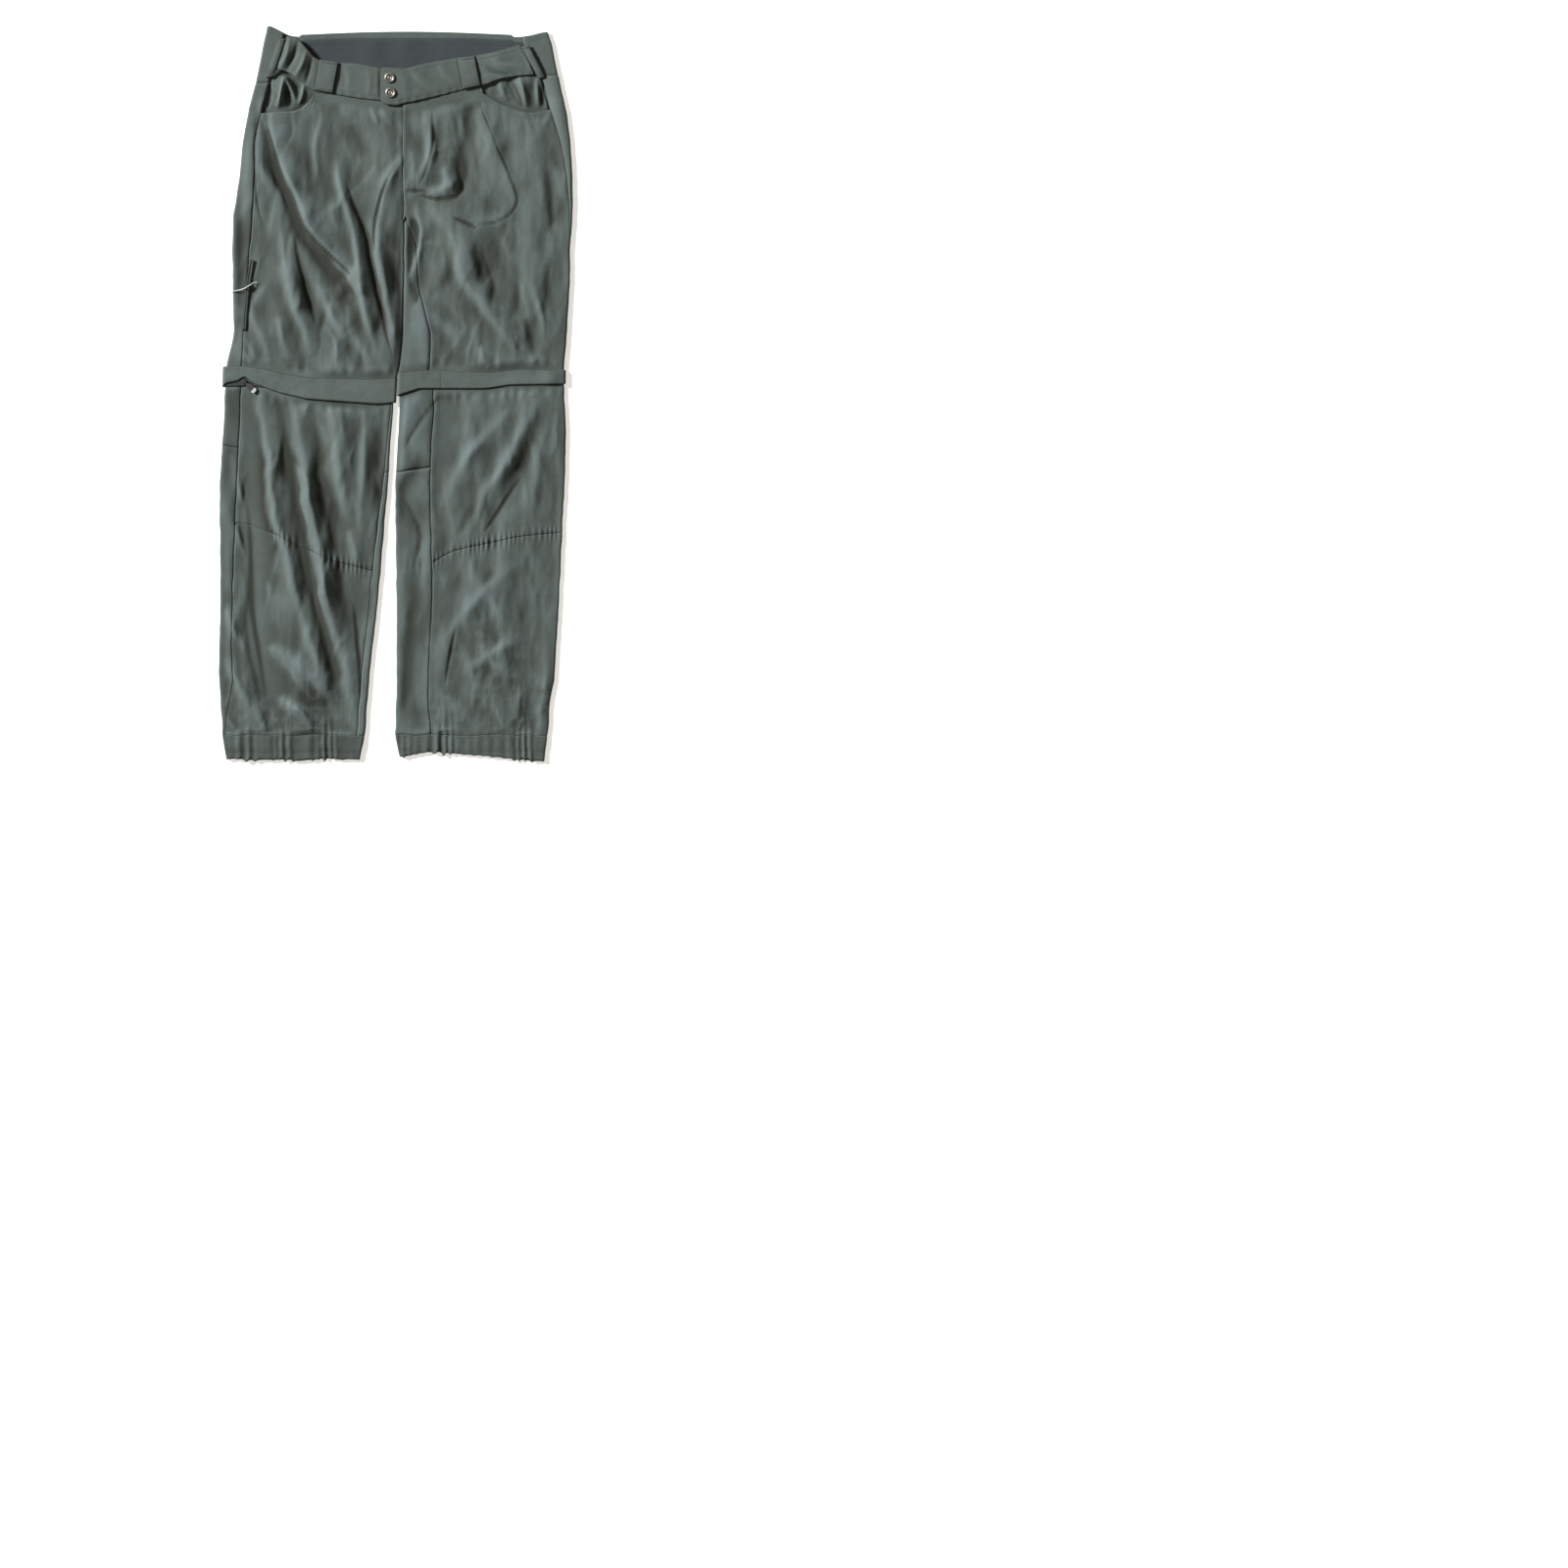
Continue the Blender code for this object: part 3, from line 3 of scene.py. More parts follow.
import bpy
import numpy as np
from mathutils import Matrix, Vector


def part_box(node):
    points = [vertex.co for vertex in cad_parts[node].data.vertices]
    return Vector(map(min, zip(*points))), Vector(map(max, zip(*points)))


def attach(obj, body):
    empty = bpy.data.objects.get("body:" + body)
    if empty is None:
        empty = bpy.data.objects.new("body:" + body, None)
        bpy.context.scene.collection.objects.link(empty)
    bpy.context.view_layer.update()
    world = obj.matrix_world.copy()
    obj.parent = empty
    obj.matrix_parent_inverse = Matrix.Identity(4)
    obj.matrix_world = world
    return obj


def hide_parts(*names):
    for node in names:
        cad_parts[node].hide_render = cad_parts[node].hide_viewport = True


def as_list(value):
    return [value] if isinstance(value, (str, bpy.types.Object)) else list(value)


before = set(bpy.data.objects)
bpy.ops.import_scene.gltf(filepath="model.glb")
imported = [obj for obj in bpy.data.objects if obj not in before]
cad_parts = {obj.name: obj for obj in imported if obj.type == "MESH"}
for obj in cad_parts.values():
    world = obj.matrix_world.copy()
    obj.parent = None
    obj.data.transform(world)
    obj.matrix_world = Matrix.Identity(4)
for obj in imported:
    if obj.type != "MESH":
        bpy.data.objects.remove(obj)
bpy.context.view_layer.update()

mm = 0.001
garment = "trousers"
bodyUp = np.array([0.0, 0.0, 1.0])
print("frame loaded")


# Camera, floor and lights

photoView = {"place": (0.5508, -0.5532, 12.356), "lens": 200.0, "sensor": 36.0}
floorLook = {"half": 9.0, "drop": -0.0004, "colour": (0.80, 0.785, 0.75, 1), "roughness": 0.95, "glow": 0.72}
lights = {  # place, target, size and power of each soft light, with its colour
    "windowLight": {"place": (-7.6, 3.9, 5.0), "at": (0.0, 0.0, 0.0), "size": 2.0, "power": 2700,
                    "colour": (0.87, 0.955, 1.0)},
    "ceilingLight": {"place": (1.2, -0.6, 7.0), "at": (0.4, -0.4, 0.0), "size": 5.0, "power": 40,
                     "colour": (1.0, 0.95, 0.86)},
}
skyLook = {"colour": (1.0, 0.95, 0.85, 1), "strength": 0.135, "transform": "Standard"}


def makeStage():
    half, drop = floorLook["half"], floorLook["drop"]
    mesh = bpy.data.meshes.new("floor")
    corners = [(-half, -half, drop), (half, -half, drop), (half, half, drop), (-half, half, drop)]
    mesh.from_pydata(corners, [], [(0, 1, 2, 3)])
    floor = bpy.data.objects.new("floor", mesh)
    bpy.context.scene.collection.objects.link(floor)
    paper = bpy.data.materials.new("floorPaper")
    paper.use_nodes = True
    shader = paper.node_tree.nodes["Principled BSDF"]
    shader.inputs["Base Color"].default_value = floorLook["colour"]
    shader.inputs["Roughness"].default_value = floorLook["roughness"]
    shader.inputs["Emission Color"].default_value = floorLook["colour"]
    shader.inputs["Emission Strength"].default_value = floorLook["glow"]
    mesh.materials.append(paper)

    for name, look in lights.items():
        data = bpy.data.lights.new(name, "AREA")
        data.shape, data.size, data.energy, data.color = "DISK", look["size"], look["power"], look["colour"]
        lamp = bpy.data.objects.new(name, data)
        lamp.location = look["place"]
        away = Vector(look["place"]) - Vector(look["at"])
        lamp.rotation_euler = away.to_track_quat("Z", "Y").to_euler()
        bpy.context.scene.collection.objects.link(lamp)
    world = bpy.data.worlds.new("softSky")
    bpy.context.scene.world = world
    world.use_nodes = True
    sky = world.node_tree.nodes["Background"]
    sky.inputs["Color"].default_value = skyLook["colour"]
    sky.inputs["Strength"].default_value = skyLook["strength"]
    bpy.context.scene.view_settings.view_transform = skyLook["transform"]

    data = bpy.data.cameras.new("photoCamera")
    data.lens, data.sensor_width = photoView["lens"], photoView["sensor"]
    data.clip_end = 60
    camera = bpy.data.objects.new("photoCamera", data)
    camera.location = photoView["place"]
    bpy.context.scene.collection.objects.link(camera)
    bpy.context.scene.camera = camera


makeStage()
print("camera, floor and lights placed")


# Shader maths: a wire is one socket, and an expression on wires and numbers adds its Math nodes

class Wire:
    def __init__(self, tree, socket=None):
        self.tree, self.socket = tree, socket

    def node(self, kind, settings=None, inputs=None, output=0):  # any node, its settings first
        made = self.tree.nodes.new("ShaderNode" + kind)
        for key, value in (settings or {}).items():
            if key == "stops":
                for count, (place, colour) in enumerate(value):
                    stop = made.color_ramp.elements[count] if count < 2 else made.color_ramp.elements.new(place)
                    stop.position, stop.color = place, colour
            else:
                setattr(made, key, value)
        for key, value in (inputs or {}).items():
            if isinstance(value, Wire):
                self.tree.links.new(value.socket, made.inputs[key])
            else:
                made.inputs[key].default_value = value
        return Wire(self.tree, made.outputs[output])

    def math(self, operation, *values):
        return self.node("Math", {"operation": operation}, dict(enumerate(values)))

    def __add__(self, other):
        return self.math("ADD", self, other)

    def __sub__(self, other):
        return self.math("SUBTRACT", self, other)

    def __rsub__(self, other):
        return self.math("SUBTRACT", other, self)

    def __mul__(self, other):
        return self.math("MULTIPLY", self, other)

    __radd__, __rmul__ = __add__, __mul__

    def mixed(self, low, high):  # a colour from low to high as this wire goes from 0 to 1
        return self.node("Mix", {"data_type": "RGBA", "clamp_factor": True}, {0: self, 6: low, 7: high}, 2)

    def sine(self):
        return self.math("SINE", self)

    def clipped(self):
        return self.node("Clamp", None, {0: self})


def startMaterial(name):
    material = bpy.data.materials.new(name)
    material.use_nodes = True
    return material, Wire(material.node_tree), material.node_tree.nodes["Principled BSDF"]


def feed(shader, wires, values=()):
    for key, wire in wires.items():
        wire.tree.links.new(wire.socket, shader.inputs[key])
    for key, value in dict(values).items():
        shader.inputs[key].default_value = value


# Each look: the cloth's own dark and light tones; a pale bluish tone laid on worn seam edges and, as a painted
# highlight, on fold crests; a near-black colour for painted shade, and how strongly the painted shade is laid on.
clothLooks = {
    "nylon": {"dark": (0.058, 0.062, 0.048, 1), "light": (0.106, 0.124, 0.118, 1), "edge": (0.135, 0.165, 0.170, 1),
              "roughness": 0.72, "sheen": 0.10, "weave": 0.00052, "ripstop": 0.0046, "bump": 0.22,
              "deep": (0.020, 0.018, 0.012, 1), "shadow": 0.86},
    "facing": {"dark": (0.028, 0.031, 0.032, 1), "light": (0.051, 0.055, 0.056, 1), "edge": (0.075, 0.082, 0.085, 1),
               "roughness": 0.66, "sheen": 0.15, "weave": 0.0006, "ripstop": 0.0046, "bump": 0.2,
               "deep": (0.018, 0.019, 0.019, 1), "shadow": 0.4},
    "tape": {"dark": (0.030, 0.034, 0.030, 1), "light": (0.055, 0.060, 0.055, 1), "edge": (0.06, 0.065, 0.06, 1),
             "roughness": 0.75, "sheen": 0.1, "weave": 0.0008, "ripstop": 0.0030, "bump": 0.3,
             "deep": (0.015, 0.015, 0.013, 1), "shadow": 0.5},
}


def clothMaterial(name):
    look = clothLooks[name]
    material, start, shader = startMaterial(name + "Cloth")
    uv = start.node("UVMap", {"uv_map": "cloth"})  # metres round and along the cloth
    place = start.node("TexCoord", output="Object")
    across = start.node("SeparateXYZ", None, {0: uv}, "X")
    along = start.node("SeparateXYZ", None, {0: uv}, "Y")
    broad = start.node("TexNoise", None, {"Vector": place, "Scale": 9.0, "Detail": 3.0, "Roughness": 0.55})
    stained = start.node("TexNoise", None, {"Vector": place, "Scale": 70.0, "Detail": 4.0, "Roughness": 0.6})
    slubs = start.node("TexNoise", None, {"Vector": start.node("Mapping", None, {
        "Vector": uv, "Scale": (1500.0, 160.0, 1.0)}), "Scale": 1.0, "Detail": 2.0})
    turn = 2 * math.pi / look["weave"]
    warp, weft = (across * turn).sine(), (along * turn).sine()
    lines = (along * (2 * math.pi / look["ripstop"])).sine().math(
        "MAXIMUM", (across * (2 * math.pi / look["ripstop"])).sine(), 0.0)
    raised = lines.node("Math", {"operation": "GREATER_THAN"}, {0: lines, 1: 0.985})
    # Painted shade: one attribute mixes the colour towards the near-black, in creases, hollows, along rims and beside
    # edges. The other is partly wear at seam edges and partly a painted highlight on fold crests, mixed towards the
    # pale bluish tone.
    wearAndHighlight = start.node("Attribute", {"attribute_name": "wearAndHighlight"}, None, "Fac")
    shadeField = start.node("Attribute", {"attribute_name": "shadeField"}, None, "Fac")
    shade = (broad * 0.9 + stained * 0.5 + slubs * 0.30 - 0.42 + raised * 0.06).clipped()
    colour = shade.mixed(look["dark"], look["light"])
    colour = (shadeField * look["shadow"]).mixed(colour, look["deep"])
    colour = (wearAndHighlight * (0.35 + stained * 0.5)).mixed(colour, look["edge"])
    fine = warp * weft * 0.5 + raised * 0.9 + slubs * 1.2
    bump = start.node("Bump", None, {"Strength": look["bump"], "Distance": 0.00018, "Height": fine})
    soft = start.node("Bump", None, {"Strength": 0.35, "Distance": 0.0012, "Height": stained, "Normal": bump})
    feed(shader, {"Base Color": colour, "Roughness": (look["roughness"] + 0.12 * (stained - 0.5) + 0.06 * raised),
                  "Normal": soft},
         {"Sheen Weight": look["sheen"], "Sheen Roughness": 0.4, "Sheen Tint": (0.80, 0.90, 0.95, 1),
          "Specular IOR Level": 0.16})
    return material


def plainMaterial(name, dark, light, roughness, metallic=0.0, scale=400.0, bump=0.15, coat=0.0):
    # one colour that drifts to another over fine noise, with the noise as its relief
    material, start, shader = startMaterial(name)
    place = start.node("TexCoord", output="Object")
    grain = start.node("TexNoise", None, {"Vector": place, "Scale": scale, "Detail": 3.0})
    relief = start.node("Bump", None, {"Strength": bump, "Distance": 0.0003, "Height": grain})
    feed(shader, {"Base Color": grain.mixed(dark, light), "Roughness": roughness + 0.2 * (grain - 0.5),
                  "Normal": relief}, {"Metallic": metallic, "Coat Weight": coat})
    return material


materials = {name: clothMaterial(name) for name in clothLooks}
materials["thread"] = plainMaterial("seamThread", (0.055, 0.062, 0.054, 1), (0.105, 0.12, 0.108, 1), 0.6)
materials["snapMetal"] = plainMaterial("snapMetal", (0.16, 0.145, 0.125, 1), (0.34, 0.315, 0.28, 1), 0.42, 0.9)
materials["darkMetal"] = plainMaterial("darkMetal", (0.05, 0.045, 0.04, 1), (0.12, 0.11, 0.10, 1), 0.42, 0.85)
materials["cord"] = plainMaterial("cordBraid", (0.30, 0.33, 0.29, 1), (0.62, 0.66, 0.58, 1), 0.8, 0.0, 900.0, 0.6)
print("materials made")


# The cord on the thigh pocket's slider, from its frayed end, over the slider and off the leg's edge

pocketCord = {
    "route": ((-196.4, 157.4), (-200.4, 157.6), (-204.0, 155.0), (-209.2, 151.6), (-214.5, 149.0),
              (-220.0, 147.2), (-226.0, 146.0), (-230.6, 145.2), (-234.8, 146.3), (-238.0, 148.2),
              (-241.4, 150.2)),
    "heights": (8.2, 8.6, 10.9, 12.0, 11.0, 8.6, 8.1, 7.8, 3.4, 1.5, 1.1),
    "exit": (-209.2, 151.6, 11.0), "diameter": 1.3, "length": 52.0,
}


def throughPoints(points, steps):
    # a smooth line through every point: a Catmull-Rom curve, with its two ends carried on straight
    points = np.asarray(points, float)
    knots = np.concatenate([[2 * points[0] - points[1]], points, [2 * points[-1] - points[-2]]])
    t = (np.arange(steps) / steps)[None, :, None]
    a, b, c, d = (knots[k:len(knots) - 3 + k, None] for k in range(4))
    line = b + t * (c - a) / 2 + t**2 * (a - 2.5 * b + 2 * c - d / 2) + t**3 * (1.5 * (b - c) + (d - a) / 2)
    return np.concatenate([line.reshape(-1, points.shape[1]), points[-1:]])


def makeCord():
    route = np.column_stack([pocketCord["route"], pocketCord["heights"]])
    line = throughPoints(route, 3)
    curve = bpy.data.curves.new("pocketCord", "CURVE")
    curve.dimensions, curve.bevel_depth, curve.bevel_resolution = "3D", pocketCord["diameter"] / 2 * mm, 4
    curve.use_fill_caps = True
    spline = curve.splines.new("POLY")
    spline.points.add(len(line) - 1)
    spline.points.foreach_set("co", np.column_stack([line * mm, np.ones(len(line))]).ravel())
    curve.materials.append(materials["cord"])
    piece = bpy.data.objects.new("pocketCord", curve)
    bpy.context.scene.collection.objects.link(piece)
    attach(piece, garment)
    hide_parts("pocket_zip_cord")


makeCord()


# The garment's sizes, in millimetres, as the solids have them

cloth = {"thick": 1.0, "gap": 0.1, "loose": 0.45, "column": 1.45, "row": 2.5, "fade": 13.0,
         "backCells": (3.2, 6.0), "bandCells": (2.6, 3.0), "deepest": {"thigh": 3.4, "lower": 2.7}}
heights = {"thigh": 6.2, "lower": 5.4, "flap": 7.7, "tape": 5.0, "underZip": 1.5}
crotch, hemSeam, joinRun, under = 246.0, -484.0, 8.0, -1.0
# y, outer edge, inner edge, outseam inboard, inseam inboard, joined to the other leg
thighRows = {
    "right": ((452, -197, 10.1, 19, joinRun, 1), (441, -198.4, 10.1, 19, joinRun, 1),
              (402, -208.8, 10.8, 19, joinRun, 1), (357, -217.2, 10.1, 17, joinRun, 1),
              (311, -220.7, 10.8, 22, joinRun, 1), (253, -230.4, 12.2, 28, joinRun, 1),
              (250, -230.5, 12.1, 28, 2.6, 0.5), (248.4, -230.5, 12.2, 28, 0, 0.2),
              (246, -230.6, 12.2, 28, under, 0), (211, -231.8, 12.3, 26, under, 0),
              (154, -231.1, 11.8, 20, under, 0), (86, -229.3, 10.6, 14, under, 0),
              (44, -239.3, 6.6, 22, under, 0), (16, -242.4, 0.4, 23.7, under, 0)),
    "left": ((452, 230, 10.1, 25, joinRun, 1), (441, 233, 10.1, 23, joinRun, 1),
             (402, 242.2, 10.8, 22, joinRun, 1), (357, 247.8, 10.1, 14, joinRun, 1),
             (311, 251.2, 10.8, 8, joinRun, 1), (253, 251.0, 12.2, 4, joinRun, 1),
             (246, 250.8, 12.2, 3.5, 4, 0), (211, 247.5, 12.3, under, 17, 0),
             (154, 247.1, 11.8, under, 21, 0), (86, 242.9, 10.6, under, 40, 0),
             (44, 239.2, 6.6, under, 43, 0), (16, 238.3, 0.9, under, 46, 0)),
}
lowerRows = {
    "right": ((24, -242.4, -2.0, 23.6, 3.2, 0), (-22, -242.8, -3.4, 23, 3.2, 0),
              (-60, -245.1, -6.6, 23.8, 4, 0), (-126.5, -249.9, -10.8, 25, 7, 0),
              (-275, -248.5, -23.3, 18, 12, 0), (-352, -249.9, -31.6, 18, 11, 0),
              (-403, -250.7, -37.2, 21, 11, 0), (-464, -246.4, -42, 7, 11, 0),
              (-484, -245.7, -43, 5, 11, 0), (-521, -240.1, -52, 4.5, 11, 0)),
    "left": ((24, 238.0, 6.2, under, 46, 0), (-22, 240.2, 5.2, under, 50, 0),
             (-60, 241.8, 3.6, under, 48.4, 0), (-126.5, 239.4, -1, under, 50, 0),
             (-275, 232.5, 1, under, 52, 0), (-352, 228.3, 1.3, under, 48, 0),
             (-403, 225.5, 1.3, under, 46, 0), (-431, 219.3, 0.8, under, 46, 0),
             (-484, 215.8, -0.8, under, 52, 0), (-521, 210.2, 6.3, under, 45, 0)),
}
flapRows = {
    "right": ((40, -245.2, 2.5, 0, 0, 0), (22, -245.6, 2.4, 0, 0, 0), (0, -246.0, 1.6, 0, 0, 0),
              (-16, -246.0, 0.8, 0, 0, 0)),
    "left": ((38, 241.8, 2.7, 0, 0, 0), (14, 241.4, 2.4, 0, 0, 0), (-5, 241.2, 1.9, 0, 0, 0)),
}
waistRows = ((522, -181.5, 214.0, 0, 0, 0), (511, -184.0, 215.8, 0, 0, 0), (498, -187.3, 221.4, 0, 0, 0),
             (475, -191.5, 225.5, 0, 0, 0), (448, -197.0, 231.1, 0, 0, 0), (438, -199.2, 233.7, 0, 0, 0))

edges = {  # points (x, y) across the garment
    "pocketRight": ((-192, 397.5), (-162.3, 399.2), (-141.4, 400.9), (-131.7, 405.9), (-122, 414.2),
                    (-116.4, 425.3)),
    "pocketLeft": ((122.7, 427.1), (135.6, 419.8), (154.2, 408.7), (172.7, 401.3), (189.4, 397.5), (221, 403)),
    "waist": ((-116.4, 429.5), (-84.4, 424), (-49.7, 418.4), (-23.3, 415.6), (12, 411.5), (33.7, 415.6),
              (64.3, 422.6), (93.5, 430.2), (122.7, 436.5)),
    "back": ((-200, 440.6), (232, 451.8)),
    "flapTopRight": ((-244.3, 38.6), (-216.5, 39.2), (-183.3, 34.8), (-158, 28.9), (-120.6, 22.2),
                     (-24.7, 20.9), (4, 22.2)),
    "flapTopLeft": ((4.2, 30.6), (55.4, 33.9), (113, 30.6), (138, 29.6), (172.4, 33.9), (239.4, 33.5)),
    "flapLowRight": ((-246, 9.7), (-240.5, 14.5), (-228.6, 17.5), (-221.4, 19), (-218, 22.8), (-213, 24.2),
                     (-208, 20.6), (-201.3, 15), (-180.4, 7), (-163, 1), (-124.8, -7.6), (-24.7, -15),
                     (2, -12.9)),
    "flapLowLeft": ((3, -3.3), (34, 7.4), (97.6, 7), (129.6, 7.4), (161.6, 12.5), (240, 13.9)),
    "zipRight": ((-242, 14.5), (-214, 16.4), (-163.7, 11.5), (-124.8, 7), (-77.5, 4.2), (1, 2.8)),
    "zipLeft": ((4.5, 12.5), (61.5, 19), (129.6, 19.5), (193.6, 23.3), (239.4, 23.3)),
    "kneeRight": ((-230, -181), (-201, -186), (-166, -202), (-108, -229), (-78, -240), (-32, -252)),
    "kneeLeft": ((3, -240), (22, -244), (53, -240), (76, -225), (107, -217), (180, -202), (234, -197)),
    "backKneeRight": ((-250, -72), (-15, -112)),
    "backKneeLeft": ((0, -112), (242, -74)),
    "hemRight": ((-241, -517), (-210, -520), (-170, -518.5), (-129, -520.5), (-100, -517.5), (-51, -518.5)),
    "hemLeft": ((5, -515), (38, -508), (60, -509), (134, -514), (190, -520.5), (212, -521)),
}


def eased(value):  # 0 to 1 in an easy curve
    value = np.clip(value, 0, 1)
    return value * value * (3 - 2 * value)


def edgeLine(name, ease=8.0):  # the height of an edge at x, with its corners rounded over twice ease
    xs, ys = np.array(edges[name], float).T
    return lambda x: (np.interp(x - ease, xs, ys) + 2 * np.interp(x, xs, ys) + np.interp(x + ease, xs, ys)) / 4


def endsLine(name):  # the straight line between an edge's two ends
    (x0, y0), (x1, y1) = edges[name][0], edges[name][-1]
    return lambda x: y0 + (y1 - y0) * np.clip((x - x0) / (x1 - x0), 0, 1)


class FlatTube:
    # A flattened tube of cloth on `floor`. s runs round a section from the middle of its outer edge,
    # above 0 over the front and below 0 underneath: half circles at both edges, straight between
    names = ("y", "outer", "inner", "outSeam", "inSeam", "joined")

    def __init__(self, rows, height, floor=0.0, loose=0.0):  # loose lets its edges wander
        table = np.array(sorted(rows), float).T
        self.table = dict(zip(self.names, table))
        self.floor, self.radius, self.height, self.loose = floor, height / 2, height, loose
        self.way = math.copysign(1, table[2][0] - table[1][0])
        self.quarter = math.pi * self.radius / 2

    def at(self, name, y):
        look = lambda height: np.interp(height, self.table["y"], self.table[name])
        if name in ("outer", "inner"):
            wander = 0.5 * np.sin(y / 11.0 + 2 * np.sin(y / 37.0)) + 0.3 * np.sin(y / 4.7 + np.sin(y / 13.0))
            return (look(y - 7) + 2 * look(y) + look(y + 7)) / 4 + wander * self.loose
        return look(y)

    def pastFly(self, y):
        return joinRun * self.at("joined", y) ** 2

    def width(self, y):
        return abs(self.at("inner", y) - self.at("outer", y)) + self.pastFly(y)

    def half(self, y):  # s at the middle of the inner edge
        return 2 * self.quarter + self.width(y) - self.height

    def inboard(self, inset):  # how far round from the edge's middle a seam lies
        inset = np.asarray(inset, float)
        onArc = self.radius * (math.pi / 2 - np.arcsin(np.clip(1 - inset / self.radius, -1, 1)))
        onFront = np.where(inset < self.radius, onArc, self.quarter + inset - self.radius)
        return np.where(inset < 0, inset * (self.quarter + 1), onFront)

    def place(self, y, s):  # points and outward directions
        half = self.half(y)
        s = (s + half) % (2 * half) - half
        run, flat, r = np.abs(s), self.width(y) - self.height, self.radius
        outer = np.clip(run / r, 0, math.pi / 2)
        inner = np.clip((run - self.quarter - flat) / r, 0, math.pi / 2)
        across = r - r * np.cos(outer) + np.clip(run - self.quarter, 0, flat) + r * np.sin(inner)
        rise = np.where(run < self.quarter, np.sin(outer), np.cos(inner))
        side = np.where(s < 0, -1.0, 1.0)
        x = self.at("outer", y) + self.way * across
        sideways = np.where(run < self.quarter, -np.cos(outer), np.sin(inner)) * self.way
        z = self.floor + r + side * r * rise
        return np.stack([x, y + 0 * x, z], -1), np.stack([sideways, 0 * x, side * rise], -1)


tubes = {}
for side in ("right", "left"):
    tubes["thigh", side] = FlatTube(thighRows[side], heights["thigh"], loose=0.5)
    tubes["lower", side] = FlatTube(lowerRows[side], heights["lower"], loose=0.6)
    tubes["flap", side] = FlatTube(flapRows[side], heights["flap"])
    tubes["zip", side] = FlatTube(lowerRows[side], heights["thigh"] - heights["underZip"], heights["underZip"])


# Creases: height (a valley is below 0), how wide the side to the west and to the east is, and the
# line, from its top to its foot. A level line runs eastwards, and its east side is the upper one

